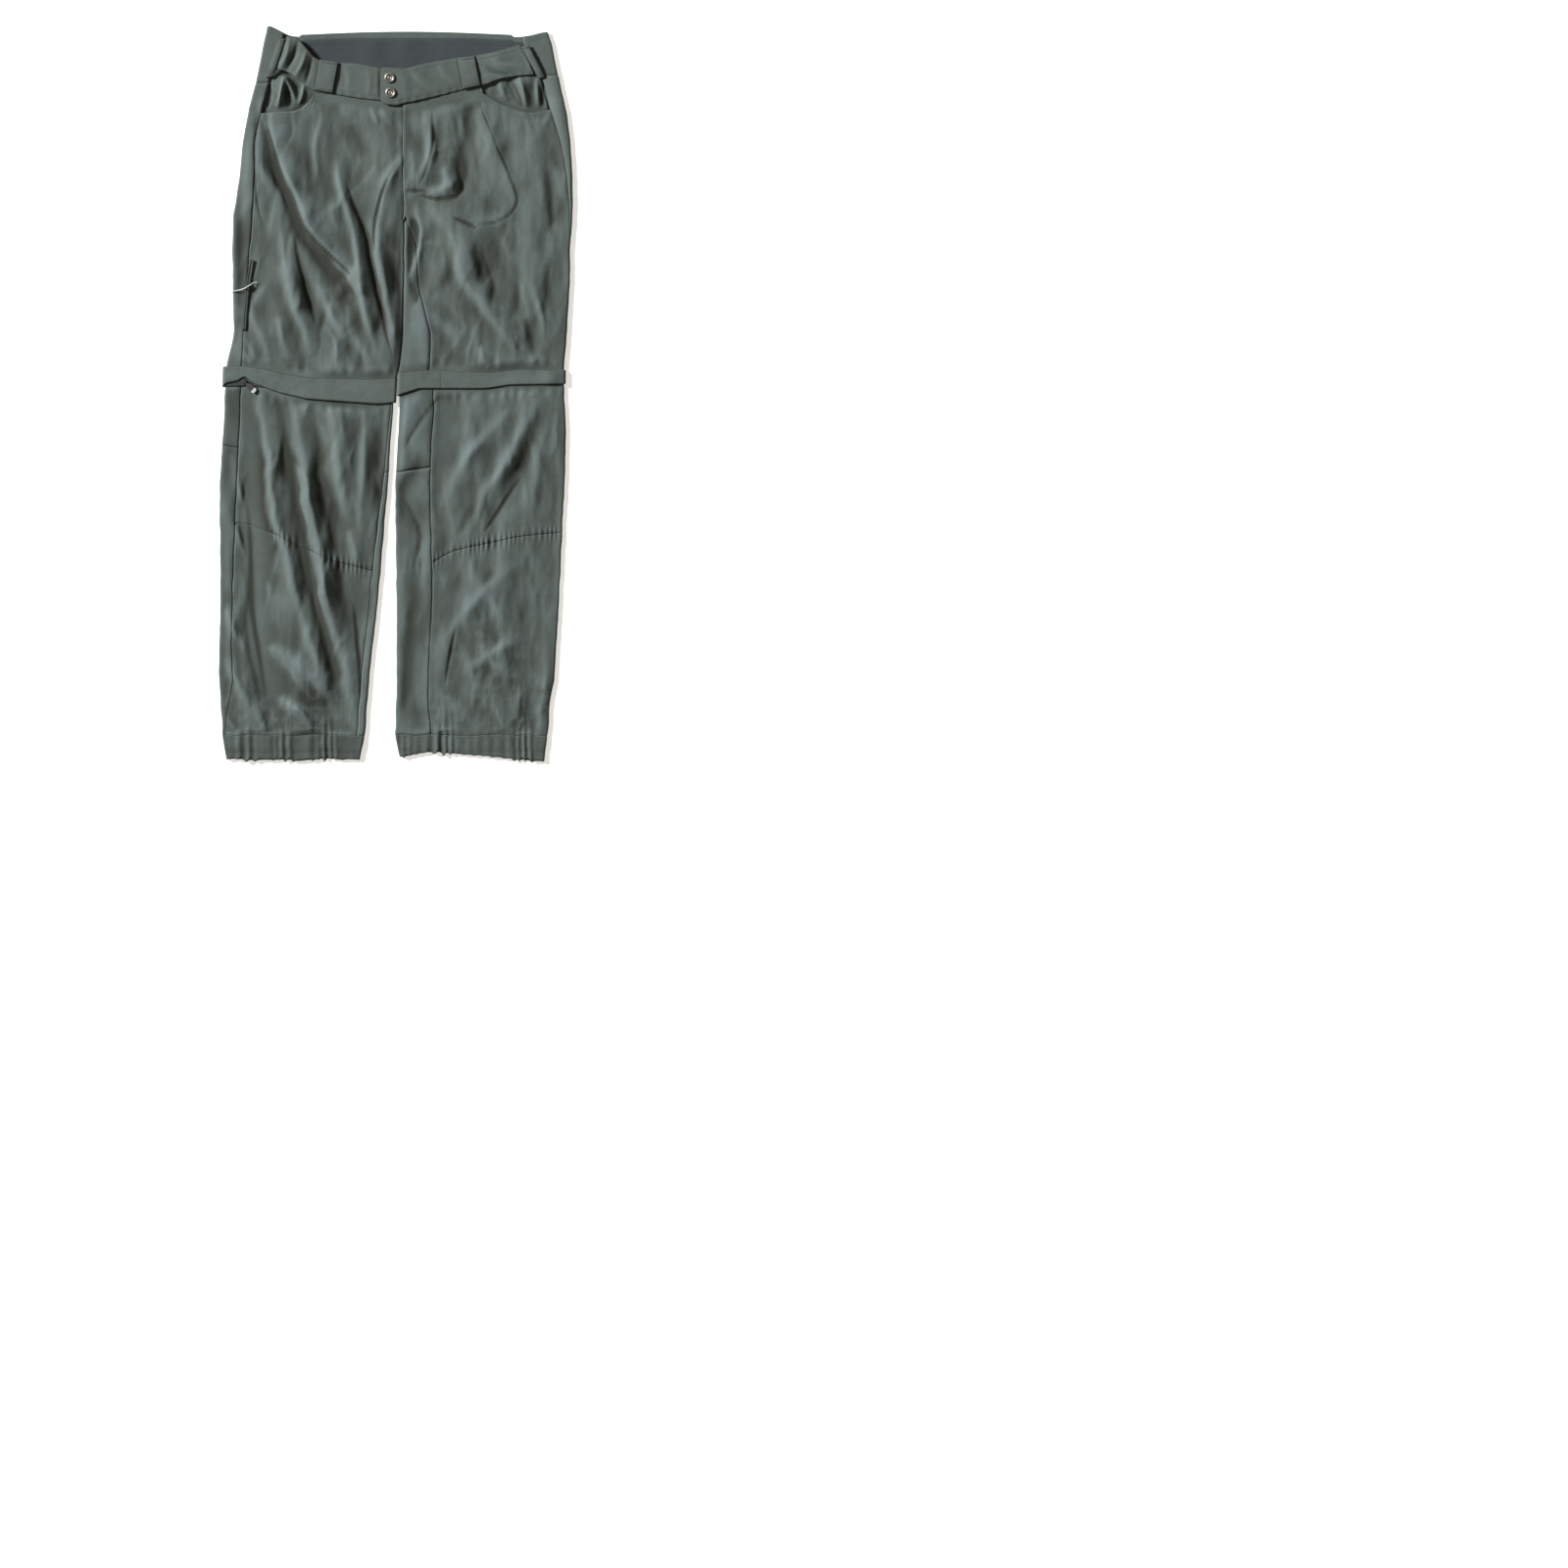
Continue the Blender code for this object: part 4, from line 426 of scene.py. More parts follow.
handCreases = {
    "right thigh": (
        (10, 5, 24, (-173, 384), (-162, 335), (-145, 288), (-120, 235), (-91, 199), (-58, 154)),
        (-7, 12, 5, (-184, 378), (-171, 330), (-155, 280), (-133, 232), (-106, 194), (-78, 168)),
        (4.5, 8, 9, (-189, 388), (-191, 331), (-179, 303), (-163, 274), (-158, 240)),
        (6.5, 8, 13, (-164, 265), (-155, 189), (-145, 139), (-127, 85), (-120, 50)),
        (-4, 7, 7, (-141, 210), (-126, 150), (-113, 100)),
        (5.5, 7, 9, (-104, 158), (-88, 110), (-68, 76)),
        (8.5, 7, 10, (-84, 322), (-64, 253), (-52, 192), (-46, 132), (-34, 85), (-24, 48)),
        (-5, 6, 5, (-72, 288), (-50, 252), (-35, 210), (-30, 170), (-20, 130), (-7, 80)),
        (8.5, 10, 8, (-18, 286), (-22, 238), (-20, 188), (-12, 140), (-6, 100), (0, 70)),
        (5.5, 7, 8, (9, 345), (-9, 306), (-20, 284)),
        (4, 6, 7, (-66, 180), (-48, 140)),
        (4, 7, 7, (-66, 92), (-46, 60), (-30, 38)),
        (-3, 9, 9, (-65, 381), (-52, 355), (-40, 335)),
        (3, 4, 5, (-37, 411), (-25, 385)), (2.5, 4, 5, (-22, 410), (-6, 380)),
        (-3, 6, 6, (-218, 330), (-222, 270), (-222, 200), (-220, 130)),
        (3.5, 6, 8, (-205, 120), (-190, 80), (-182, 50)), (3, 5, 6, (-168, 110), (-158, 70), (-152, 44)),
        (2.5, 5, 6, (-100, 400), (-112, 350), (-108, 300)),
    ),
    "left thigh": (
        (10, 9, 20, (50, 262), (80, 228), (94, 181), (116, 146), (141, 110), (172, 64)),
        (-3, 10, 9, (112, 215), (123, 174), (150, 118)), (-2.6, 9, 9, (69, 215), (77, 174), (52, 139)),
        (6, 7, 9, (46, 400), (48, 353), (41, 317), (23, 285)), (-3.5, 6, 6, (50, 380), (60, 345)),
        (5, 8, 6, (40, 284), (66, 290), (92, 306)), (4, 7, 7, (66, 322), (84, 288)),
        (-3.5, 7, 7, (91, 335), (94, 285)),
        (-6, 4, 5, (21, 244), (27, 226), (24, 208), (20, 190)),
        (6, 4, 6, (28, 262), (38, 228), (36, 196), (24, 166)),
        (-4, 7, 7, (184, 108), (194, 76), (203, 47)), (4, 9, 9, (50, 114), (74, 90), (96, 68)),
        (-3.2, 7, 9, (112, 420), (104, 380), (96, 340), (92, 300)),
        (3.6, 16, 4, (118, 420), (136, 372), (152, 330), (168, 292), (171, 272), (160, 254)),
        (3.0, 6, 8, (104, 244), (130, 245), (160, 254)),
        (-3, 6, 6, (216, 330), (220, 270), (222, 220)),
        (3, 5, 6, (34, 130), (44, 100), (40, 60)), (3.5, 6, 7, (120, 70), (132, 44)),
        (4, 5, 7, (20, 350), (26, 310), (18, 290)), (3, 5, 6, (196, 160), (210, 110), (214, 70)),
    ),
    "right lower": (
        (-8, 13, 19, (-208, 4), (-200, -109), (-202, -225), (-198, -340), (-186, -462)),
        (7.5, 9, 9, (-194, 0), (-180, -90), (-170, -171), (-155, -225), (-136, -302), (-92, -424)),
        (-4.5, 8, 8, (-168, -8), (-151, -109), (-136, -186), (-128, -244), (-101, -340), (-74, -444)),
        (7.5, 9, 10, (-140, -28), (-124, -129), (-108, -206), (-97, -282), (-71, -378), (-62, -460)),
        (-3.5, 8, 8, (-114, -30), (-108, -109), (-97, -171), (-82, -232), (-71, -290)),
        (5.5, 12, 12, (-84, -20), (-78, -109), (-66, -171)), (-3, 9, 9, (-22, -14), (-24, -116)),
        (5, 9, 8, (-190, -354), (-136, -382), (-86, -432)), (4, 8, 8, (-166, -430), (-108, -472)),
        (3, 5, 6, (-243, -378), (-222, -410), (-205, -444)), (2.5, 4, 5, (-224, -118), (-212, -158)),
        (3, 5, 6, (-228, -182), (-208, -232)), (4, 7, 8, (-40, -30), (-44, -110), (-52, -190)),
        (3, 6, 6, (-66, -190), (-52, -250)), (3.5, 5, 6, (-238, -300), (-222, -350)),
        (3, 6, 6, (-140, -440), (-112, -480)), (3, 6, 6, (-200, -440), (-186, -482)),
    ),
    "left lower": (
        (-5, 10, 12, (218, 6), (191, -71), (160, -129), (138, -190)),
        (-5, 9, 10, (105, 0), (76, -51), (67, -101), (61, -147), (64, -196)),
        (-3, 6, 6, (114, -156), (99, -186), (82, -208)),
        (6.5, 9, 10, (164, -26), (107, -84), (85, -129), (71, -165)),
        (7.5, 9, 11, (200, -14), (161, -94), (130, -140), (104, -198)),
        (5, 6, 7, (34, -4), (9, -51), (5, -129)),
        (-5, 7, 8, (15, -50), (34, -96), (6, -146), (30, -200)),
        (5.5, 10, 10, (191, -222), (122, -290), (78, -340), (62, -396)),
        (-3.5, 7, 7, (144, -250), (120, -278)), (4, 7, 7, (100, -240), (134, -284), (160, -330)),
        (4, 7, 8, (176, -340), (140, -365), (96, -398)), (3.5, 6, 7, (120, -352), (148, -392), (186, -412)),
        (3, 6, 6, (96, -360), (112, -420), (100, -452)), (4, 5, 6, (205, -404), (219, -428), (200, -452)),
        (-4, 8, 9, (30, -270), (22, -340), (15, -417), (6, -470)), (4, 8, 8, (70, -430), (113, -472)),
        (3.5, 6, 8, (188, -170), (200, -110), (214, -40)), (3, 6, 7, (44, -210), (40, -290)),
        (3, 6, 6, (140, -440), (158, -478)), (3, 6, 6, (180, -420), (168, -470)),
    ),
}
smallCreases = {"count": 80, "height": (0.3, 1.3), "width": (2.2, 8.0), "length": (25, 95), "lean": 0.38}
smallPlaces = {  # the seed of each place's small creases, and its west, east, south and north
    "right thigh": (3, (-225, 8, 30, 420)), "left thigh": (4, (12, 245, 30, 420)),
    "right lower": (5, (-245, -15, -480, 0)), "left lower": (6, (5, 232, -480, 0)),
}
creaseScale = {"width": 1.6, "height": 1.2}
creaseStrength = {"right thigh": 1.0, "left thigh": 0.85, "right lower": 1.2, "left lower": 0.62}
sharpCreases = {  # depth, half width and line of the creases that close to a dark line: cut into the relief, and darkened more with painted shade
    "right thigh": (
        (4.0, 3.2, (-180, 374), (-167, 332), (-153, 276), (-134, 243), (-110, 214), (-82, 186), (-62, 166)),
        (2.2, 2.6, (-70, 300), (-56, 262), (-40, 222), (-33, 182), (-24, 138), (-14, 92), (-4, 52)),
        (1.8, 2.6, (-143, 222), (-134, 180), (-124, 140), (-114, 100)),
        (2.0, 2.4, (4, 330), (-12, 300), (-25, 262), (-30, 224), (-27, 190)),
        (1.6, 2.4, (-196, 392), (-200, 340), (-198, 290), (-190, 240)),
        (3.0, 3.2, (9, 236), (8, 200), (7, 150), (7, 100)),
    ),
    "left thigh": (
        (7.0, 7.0, (25, 246), (27, 228), (24, 212), (20, 196)), (3.0, 3.5, (22, 200), (20, 184), (17, 168)),
        (2.4, 2.6, (34, 282), (60, 276), (84, 279), (97, 292)), (1.6, 2.2, (12, 287), (30, 288), (48, 286)),
        (1.6, 2.4, (96, 338), (98, 310), (94, 290)),
        (1.6, 2.6, (118, 234), (100, 242), (80, 250)), (2.0, 2.6, (16, 180), (22, 150), (30, 138), (24, 126)),
        (1.4, 2.0, (116, 424), (134, 376), (151, 334), (169, 292), (172, 270), (158, 251), (128, 241), (100, 243)),
        (1.6, 2.6, (52, 402), (54, 360), (46, 322), (34, 296)),
    ),
    "right lower": (
        (2.2, 4.5, (-212, -150), (-206, -220), (-204, -290), (-196, -360), (-184, -430)),
        (1.6, 2.8, (-150, -90), (-134, -180), (-122, -250), (-98, -340)),
        (1.6, 3.0, (-60, -300), (-52, -360), (-50, -430)),
    ),
    "left lower": (
        (1.8, 2.8, (60, -6), (30, -44), (8, -84)), (1.8, 2.8, (12, -150), (34, -196), (28, -236)),
        (1.6, 2.6, (176, -120), (150, -160), (126, -196)), (1.5, 2.4, (86, -330), (78, -372), (70, -410)),
        (1.6, 2.6, (206, -420), (222, -432), (204, -446)),
    ),
}
crumpled = (  # x, y, radius: where the cloth is crumpled all over
    (135, -385, 62), (60, -480, 40), (178, -470, 38), (-150, -470, 95), (-228, -300, 26), (-150, 440, 30),
    (35, 215, 24), (20, 300, 26),
)


def smallLines(seed, box):
    # short soft creases at random places in a box, mostly along the leg
    chance = np.random.default_rng(seed)
    made = []
    for _ in range(smallCreases["count"]):
        x, y = chance.uniform(box[0], box[1]), chance.uniform(box[2], box[3])
        lean = chance.normal(0, smallCreases["lean"])
        run = chance.uniform(*smallCreases["length"])
        way = np.array([math.sin(lean), -math.cos(lean)]) * run / 2
        bend = np.array([way[1], -way[0]]) * chance.normal(0, 0.22)
        height = chance.uniform(*smallCreases["height"]) * chance.choice((1, 1, -1))
        west, east = chance.uniform(*smallCreases["width"], 2)
        middle = np.array([x, y])
        made.append((height, west, east, tuple(middle - way), tuple(middle + bend), tuple(middle + way)))
    return made


def creaseField(x, y, creases, widen=1.0):
    # each crease is a soft crest along its line, as high as its distance lets it be on either side
    total = np.zeros(x.shape)
    for height, west, east, *points in creases:
        height, west, east = height * creaseScale["height"], west * widen, east * widen
        line = throughPoints(points, 4)
        reach = 3.2 * max(west, east)
        near = ((x > line[:, 0].min() - reach) & (x < line[:, 0].max() + reach)
                & (y > line[:, 1].min() - reach) & (y < line[:, 1].max() + reach))
        if not near.any():
            continue
        px, py = x[near], y[near]
        steps = np.diff(line, axis=0)
        lengths = np.linalg.norm(steps, axis=1)
        begins = np.concatenate([[0], np.cumsum(lengths)])
        best, along, eastward = np.full(px.shape, 1e9), np.zeros(px.shape), np.zeros(px.shape)
        for (ax, ay), (dx, dy), length, begin in zip(line, steps, lengths, begins):
            t = np.clip(((px - ax) * dx + (py - ay) * dy) / length**2, 0, 1)
            offX, offY = px - ax - t * dx, py - ay - t * dy
            away = np.hypot(offX, offY)
            closer = away < best
            along = np.where(closer, begin + t * length, along)
            eastward = np.where(closer, dx * offY - dy * offX, eastward)
            best = np.minimum(best, away)
        blend = 0.5 + 0.5 * np.tanh(eastward / np.maximum(lengths.mean(), 1) / 2.0)
        reachHere = west + (east - west) * blend
        part = along / begins[-1]
        taper = np.sin(math.pi * np.clip(0.05 + 0.9 * part, 0, 1)) ** 0.9
        total[near] += height * taper * np.exp(1 - np.sqrt(1 + (2.1 * best / reachHere) ** 2))
    return total


def sharpField(x, y, creases):
    # narrow creases, the deepest of any at each place: their depth falls off within twice their half width
    total = np.zeros(x.shape)
    for depth, half, *points in creases:
        line = throughPoints(points, 4)
        near = ((x > line[:, 0].min() - 4 * half) & (x < line[:, 0].max() + 4 * half)
                & (y > line[:, 1].min() - 4 * half) & (y < line[:, 1].max() + 4 * half))
        px, py = x[near], y[near]
        steps = np.diff(line, axis=0)
        best, part = np.full(px.shape, 1e9), np.zeros(px.shape)
        for count, ((ax, ay), (dx, dy)) in enumerate(zip(line, steps)):
            t = np.clip(((px - ax) * dx + (py - ay) * dy) / (dx * dx + dy * dy), 0, 1)
            away = np.hypot(px - ax - t * dx, py - ay - t * dy)
            part = np.where(away < best, (count + t) / len(steps), part)
            best = np.minimum(best, away)
        taper = np.sin(math.pi * np.clip(part, 0.02, 0.98)) ** 0.6
        total[near] = np.maximum(total[near], depth * taper * np.exp(-((best / (half * (0.4 + 0.6 * taper))) ** 2)))
    return total


noiseTable = np.random.default_rng(11).uniform(-1, 1, (64, 64))


def drift(x, y, cellX, cellY, shift=0):
    # smooth noise from -1 to 1: a grid of random numbers, eased from one to the next
    u, v = x / cellX + 7.3 * shift, y / cellY + 3.1 * shift
    i, j = np.floor(u).astype(int), np.floor(v).astype(int)
    a, b = eased(u - i), eased(v - j)
    pick = lambda p, q: noiseTable[(i + p) % 64, (j + q) % 64]
    low = pick(0, 0) * (1 - a) + pick(1, 0) * a
    high = pick(0, 1) * (1 - a) + pick(1, 1) * a
    return low * (1 - b) + high * b


wrinkles = {  # height, size across, size along and part of the noise of each kind of wrinkle
    "sideBend": (3.2, 34, 70, 10), "smallBend": (1.3, 13, 22, 11), "lengthBend": (5.0, 50, 50, 12),
    "uneven": (0.4, 26, 44, 13), "broad": (3.2, 40, 120, 14), "middle": (1.1, 17, 52, 0),
    "small": (0.42, 8, 24, 1), "fine": (0.13, 3.8, 10, 2), "crease": (1.2, 16, 26, 17),
    "crumple": (1.2, 13, 15, 3), "smallCrumple": (0.5, 6, 7, 4), "flap": (0.5, 30, 15, 7),
    "smallFlap": (0.16, 9, 7, 8), "hem": (0.5, 7, 14, 3), "facing": (0.5, 34, 50, 2),
    "band": (0.35, 24, 22, 4), "smallBand": (0.12, 7, 7, 5), "loop": (0.2, 8, 9, 6),
    "pocket": (0.6, 9, 16, 7), "smallPocket": (0.2, 4, 5, 8),
}
ripples = {  # spacing over twice pi, how far it sways, the sway's own length, and the reach past the seam
    "underFlap": (2.6, 1.5, 13, 16), "overFlap": (3.3, 1.5, 11, 15), "knee": (1.15, 1.9, 9, 9.0),
    "flap": (5.5, 1.2, 17, 5), "band": (2.1, 1.4, 15, 7),
}


def wrinkle(x, y, *names):
    return sum(wrinkles[name][0] * drift(x, y, *wrinkles[name][1:]) for name in names)


def folded(x, y, name):  # wrinkles with sharp crests where the noise passes through 0
    height, *size = wrinkles[name]
    return height * (0.5 - np.abs(drift(x, y, *size)))


def ripple(x, away, name):  # sine waves of wandering length, that die out away from a seam
    wave, sway, beat, reach = ripples[name]
    return np.sin(x / wave + sway * np.sin(x / beat)) * np.exp(-((away / reach) ** 2))


def crumpleAt(x, y):
    return sum(np.exp(-(((x - cx) ** 2 + (y - cy) ** 2) / r**2)) for cx, cy, r in crumpled)


def gatherAt(side, x):  # how strongly the hem's cord gathers the cloth here, and the waves it makes
    waves = np.sin(x / 1.7 + 2.4 * np.sin(x / 14.0)) * (0.5 + 0.5 * np.sin(x / 9.1)) + 0.6 * np.sin(
        x / 3.3 + 2.0 + 1.5 * np.sin(x / 8.3))
    if side == "right":
        strong = 0.75 + 0.25 * np.sin(x / 23)
    else:
        strong = 0.35 + np.exp(-(((x - 60) / 20) ** 2)) + 0.8 * np.exp(-(((x - 178) / 18) ** 2))
    return strong * waves


def hemGathers(side, x, down):
    return 0.8 + gatherAt(side, x + 0.35 * np.sin(down / 6))


def hemTop(side, x):  # the hem band's upper seam wanders a little
    return hemSeam + 0.9 * np.sin(x / 9 + 2 * np.sin(x / 31)) + 0.35 * gatherAt(side, x)


creaseSets = {place: list(rows) + smallLines(*smallPlaces[place]) for place, rows in handCreases.items()}
kneeLines = {side: edgeLine("knee" + side.title()) for side in ("right", "left")}
flapTops = {side: edgeLine("flapTop" + side.title()) for side in ("right", "left")}
flapLows = {side: edgeLine("flapLow" + side.title()) for side in ("right", "left")}


def reliefAt(side, kind, x, y):
    # how far the front stands above its flat height: creases, drift, crumples, puckers at the seams, and the depth
    # that the painted shade in its creases is made from
    tube = tubes[kind, side]
    fromOuter = (x - tube.at("outer", y)) * tube.way
    fromInner = (tube.at("inner", y) - x) * tube.way + np.clip(y - crotch, 0, None) * 2
    bentX, bentY = x + wrinkle(x, y, "sideBend", "smallBend"), y + wrinkle(x, y, "lengthBend")
    place = side + " " + kind
    field = creaseField(bentX, bentY, creaseSets[place], creaseScale["width"])
    field *= creaseStrength[place] * (0.95 + wrinkle(x, y, "uneven"))
    field += wrinkle(bentX, y, "broad", "small") + wrinkle(bentX, bentY, "middle") + wrinkle(x, y, "fine")
    sharp = sharpField(x + wrinkle(x, y, "crease"), y, sharpCreases[place])
    field += crumpleAt(x, y) * (folded(x, y, "crumple") + folded(x, y, "smallCrumple"))
    if kind == "lower":
        ends = eased((flapLows[side](x) - y - 1.5) / 15) * eased((y - hemSeam) / 9)
        seam = y - kneeLines[side](x)
        puckers = ripple(x, seam, "knee") * (0.65 + 0.35 * np.sin(x / 17))
        field += 1.1 * ripple(x, y - flapLows[side](x), "underFlap") + 1.15 * puckers
        field -= 0.4 * np.exp(-((seam / 4.0) ** 2))
    else:
        top = 408.0 + 0.09 * np.abs(x - 10)
        ends = eased((y - flapTops[side](x) - 1.0) / 14) * eased((top - y) / 15)
        field += 0.8 * ripple(x, y - flapTops[side](x), "overFlap")
    deepest = cloth["deepest"][kind]
    field = -deepest + np.logaddexp(0, 1.6 * (field - sharp + 0.5 + deepest)) / 1.6
    inward = eased(fromOuter / cloth["fade"]) * eased(fromInner / cloth["fade"])
    calm = inward * ends
    # the second field, with the sharp creases cut deeper and the hem's gathers added, is what the painted shade in
    # the creases is made from
    lift, shadeField = calm * field, calm * (field - 1.5 * sharp)
    if kind == "lower":
        hemWaves = 0.8 * inward * hemGathers(side, x, 0) * np.exp(-np.clip(y - hemSeam, 0, None) / 13)
        lift, shadeField = lift + hemWaves, shadeField + 0.6 * hemWaves
    return lift, shadeField


def softened(grid, times):
    for _ in range(times):
        for axis in (0, 1):
            ends = np.take(grid, [0], axis), np.take(grid, [-1], axis)
            wide = np.concatenate([ends[0], grid, ends[1]], axis)
            size = grid.shape[axis]
            low, middle, high = (np.take(wide, np.arange(k, k + size), axis) for k in range(3))
            grid = (low + 2 * middle + high) / 4
    return grid


# Building: grids of points become closed shells

pieceTotals = {"triangles": 0}


def addPiece(name, points, faces, material, node=None, smooth=True, uv=None, extra=None):
    mesh = bpy.data.meshes.new(name)
    faces = faces.tolist() if isinstance(faces, np.ndarray) else faces
    mesh.from_pydata((np.asarray(points) * mm).tolist(), [], faces)
    if uv is not None:
        layer = mesh.uv_layers.new(name="cloth")
        corner = np.empty(len(mesh.loops), np.int32)
        mesh.loops.foreach_get("vertex_index", corner)
        layer.data.foreach_set("uv", (uv[corner] * mm).ravel())
    for key, values in (extra or {}).items():
        mesh.attributes.new(key, "FLOAT", "POINT").data.foreach_set("value", np.asarray(values, np.float32))
    mesh.polygons.foreach_set("use_smooth", np.full(len(mesh.polygons), smooth))
    mesh.materials.append(materials[material])
    piece = bpy.data.objects.new(name, mesh)
    bpy.context.scene.collection.objects.link(piece)
    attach(piece, garment)
    if node:
        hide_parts(*([node] if isinstance(node, str) else node))
    pieceTotals["triangles"] += sum(len(face) - 2 for face in faces)
    return piece


def gridFaces(rows, columns, first=0, turned=False):
    corner = first + np.arange(rows - 1)[:, None] * columns + np.arange(columns - 1)
    quads = np.stack([corner, corner + 1, corner + columns + 1, corner + columns], -1).reshape(-1, 4)
    return quads[:, ::-1] if turned else quads


def surfaceArea(points):  # of a grid of points, from the cross product of each cell's sides
    a, b = np.diff(points[:, :-1], axis=0), np.diff(points[:-1], axis=1)
    return np.linalg.norm(np.cross(a, b), axis=-1).sum()


def addShell(name, outside, inside, uv, extra, material, node, ring=False, flip=False):
    # an outer and an inner grid, closed at their rims; on a ring the last column is the first again
    if ring:
        outside, inside = outside[:, :-1], inside[:, :-1]
        uv = uv[:, :-1]
        extra = {key: values[:, :-1] for key, values in extra.items()}
    rows, columns = outside.shape[:2]
    size = rows * columns
    faces = [gridFaces(rows, columns), gridFaces(rows, columns, size, True)]
    if ring:
        low = np.arange(rows - 1) * columns + columns - 1
        seam = np.stack([low, low - columns + 1, low + 1, low + columns], -1)
        faces += [seam, (seam + size)[:, ::-1]]
    rims = [np.arange(columns), (rows - 1) * columns + np.arange(columns)[::-1]]
    if ring:
        rims = [np.append(rims[0], 0), np.append(rims[1], (rows - 1) * columns + columns - 1)]
    else:
        rims += [columns * np.arange(rows)[::-1], columns * np.arange(rows) + columns - 1]
    for rim in rims:
        faces.append(np.stack([rim[1:], rim[:-1], rim[:-1] + size, rim[1:] + size], -1))
    faces = np.concatenate(faces)
    if flip:
        faces = faces[:, ::-1]
    points = np.concatenate([outside.reshape(-1, 3), inside.reshape(-1, 3)])
    flat = np.concatenate([uv.reshape(-1, 2)] * 2)
    extra = {key: np.concatenate([values.ravel()] * 2) for key, values in extra.items()}
    return addPiece(name, points, faces, material, node, True, flat, extra)


narrowest = 10.0  # the least width that a sheet may state


def declareCut(piece, outside, width, length, rests):
    # its flat cut: the sides are its spans, and the area is its surface with the creases pulled out
    area = surfaceArea(outside) * mm * mm / 1.03
    width, length = max(width, narrowest) * mm, length * mm
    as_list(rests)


def facesOutward(outside, outward):  # whether the grid's own winding looks the outward way
    return np.dot(np.cross(outside[0, 1] - outside[0, 0], outside[1, 0] - outside[0, 0]), outward[0, 0]) > 0


# Sewing: each stitch is a small spindle of thread lying on the cloth

stitchLook = {"pitch": 3.1, "half": 1.05, "radius": 0.24}
stitchRuns = {}


def addStitches(group, path, normals, pitch=None):
    # stitches at even steps along a path: a ring of four points at two places, and a point at each end
    steps = np.linalg.norm(np.diff(path, axis=0), axis=1)
    along = np.concatenate([[0], np.cumsum(steps)])
    pitch = pitch or stitchLook["pitch"]
    at = np.arange(pitch / 2, along[-1], pitch)
    if not len(at):
        return
    pick = lambda values, where: np.stack([np.interp(where, along, values[:, k]) for k in range(3)], -1)
    half = stitchLook["half"] * pitch / stitchLook["pitch"]
    head, tail = pick(path, at - half), pick(path, at + half)
    up = pick(normals, at)
    way = tail - head
    way /= np.linalg.norm(way, axis=1)[:, None] + 1e-9
    aside = np.cross(way, up)
    r = stitchLook["radius"]
    middle = (head + tail) / 2 + up * r * 0.9
    ring = [aside * r, up * r, -aside * r, -up * r]
    inner = way * half * 0.6
    corners = [head - up * 0.1] + [middle - inner + k for k in ring] + [middle + inner + k for k in ring] + [
        tail - up * 0.1]
    stitchRuns.setdefault(group, []).append(np.stack(corners, 1))


def finishStitches():
    pattern = [(0, 2, 1), (0, 3, 2), (0, 4, 3), (0, 1, 4)]
    pattern += [(9, 5, 6), (9, 6, 7), (9, 7, 8), (9, 8, 5)]
    sides = [(1, 2, 6, 5), (2, 3, 7, 6), (3, 4, 8, 7), (4, 1, 5, 8)]
    for group, runs in stitchRuns.items():
        points = np.concatenate(runs)
        base = np.arange(len(points))[:, None, None] * 10
        faces = (base + np.array(pattern)).reshape(-1, 3).tolist() + (base + np.array(sides)).reshape(-1, 4).tolist()
        addPiece(group, points.reshape(-1, 3), faces, "thread", None)
    print("stitches", sum(len(r) for runs in stitchRuns.values() for r in runs))


# Leg panels

seamLook = {"press": 0.2, "edge": 1.2, "welt": 0.16, "weltAt": 3.8, "weltHalf": 2.6, "stitchHalf": 0.9,
            "stitchPress": 0.28, "shadeBlur": 90}


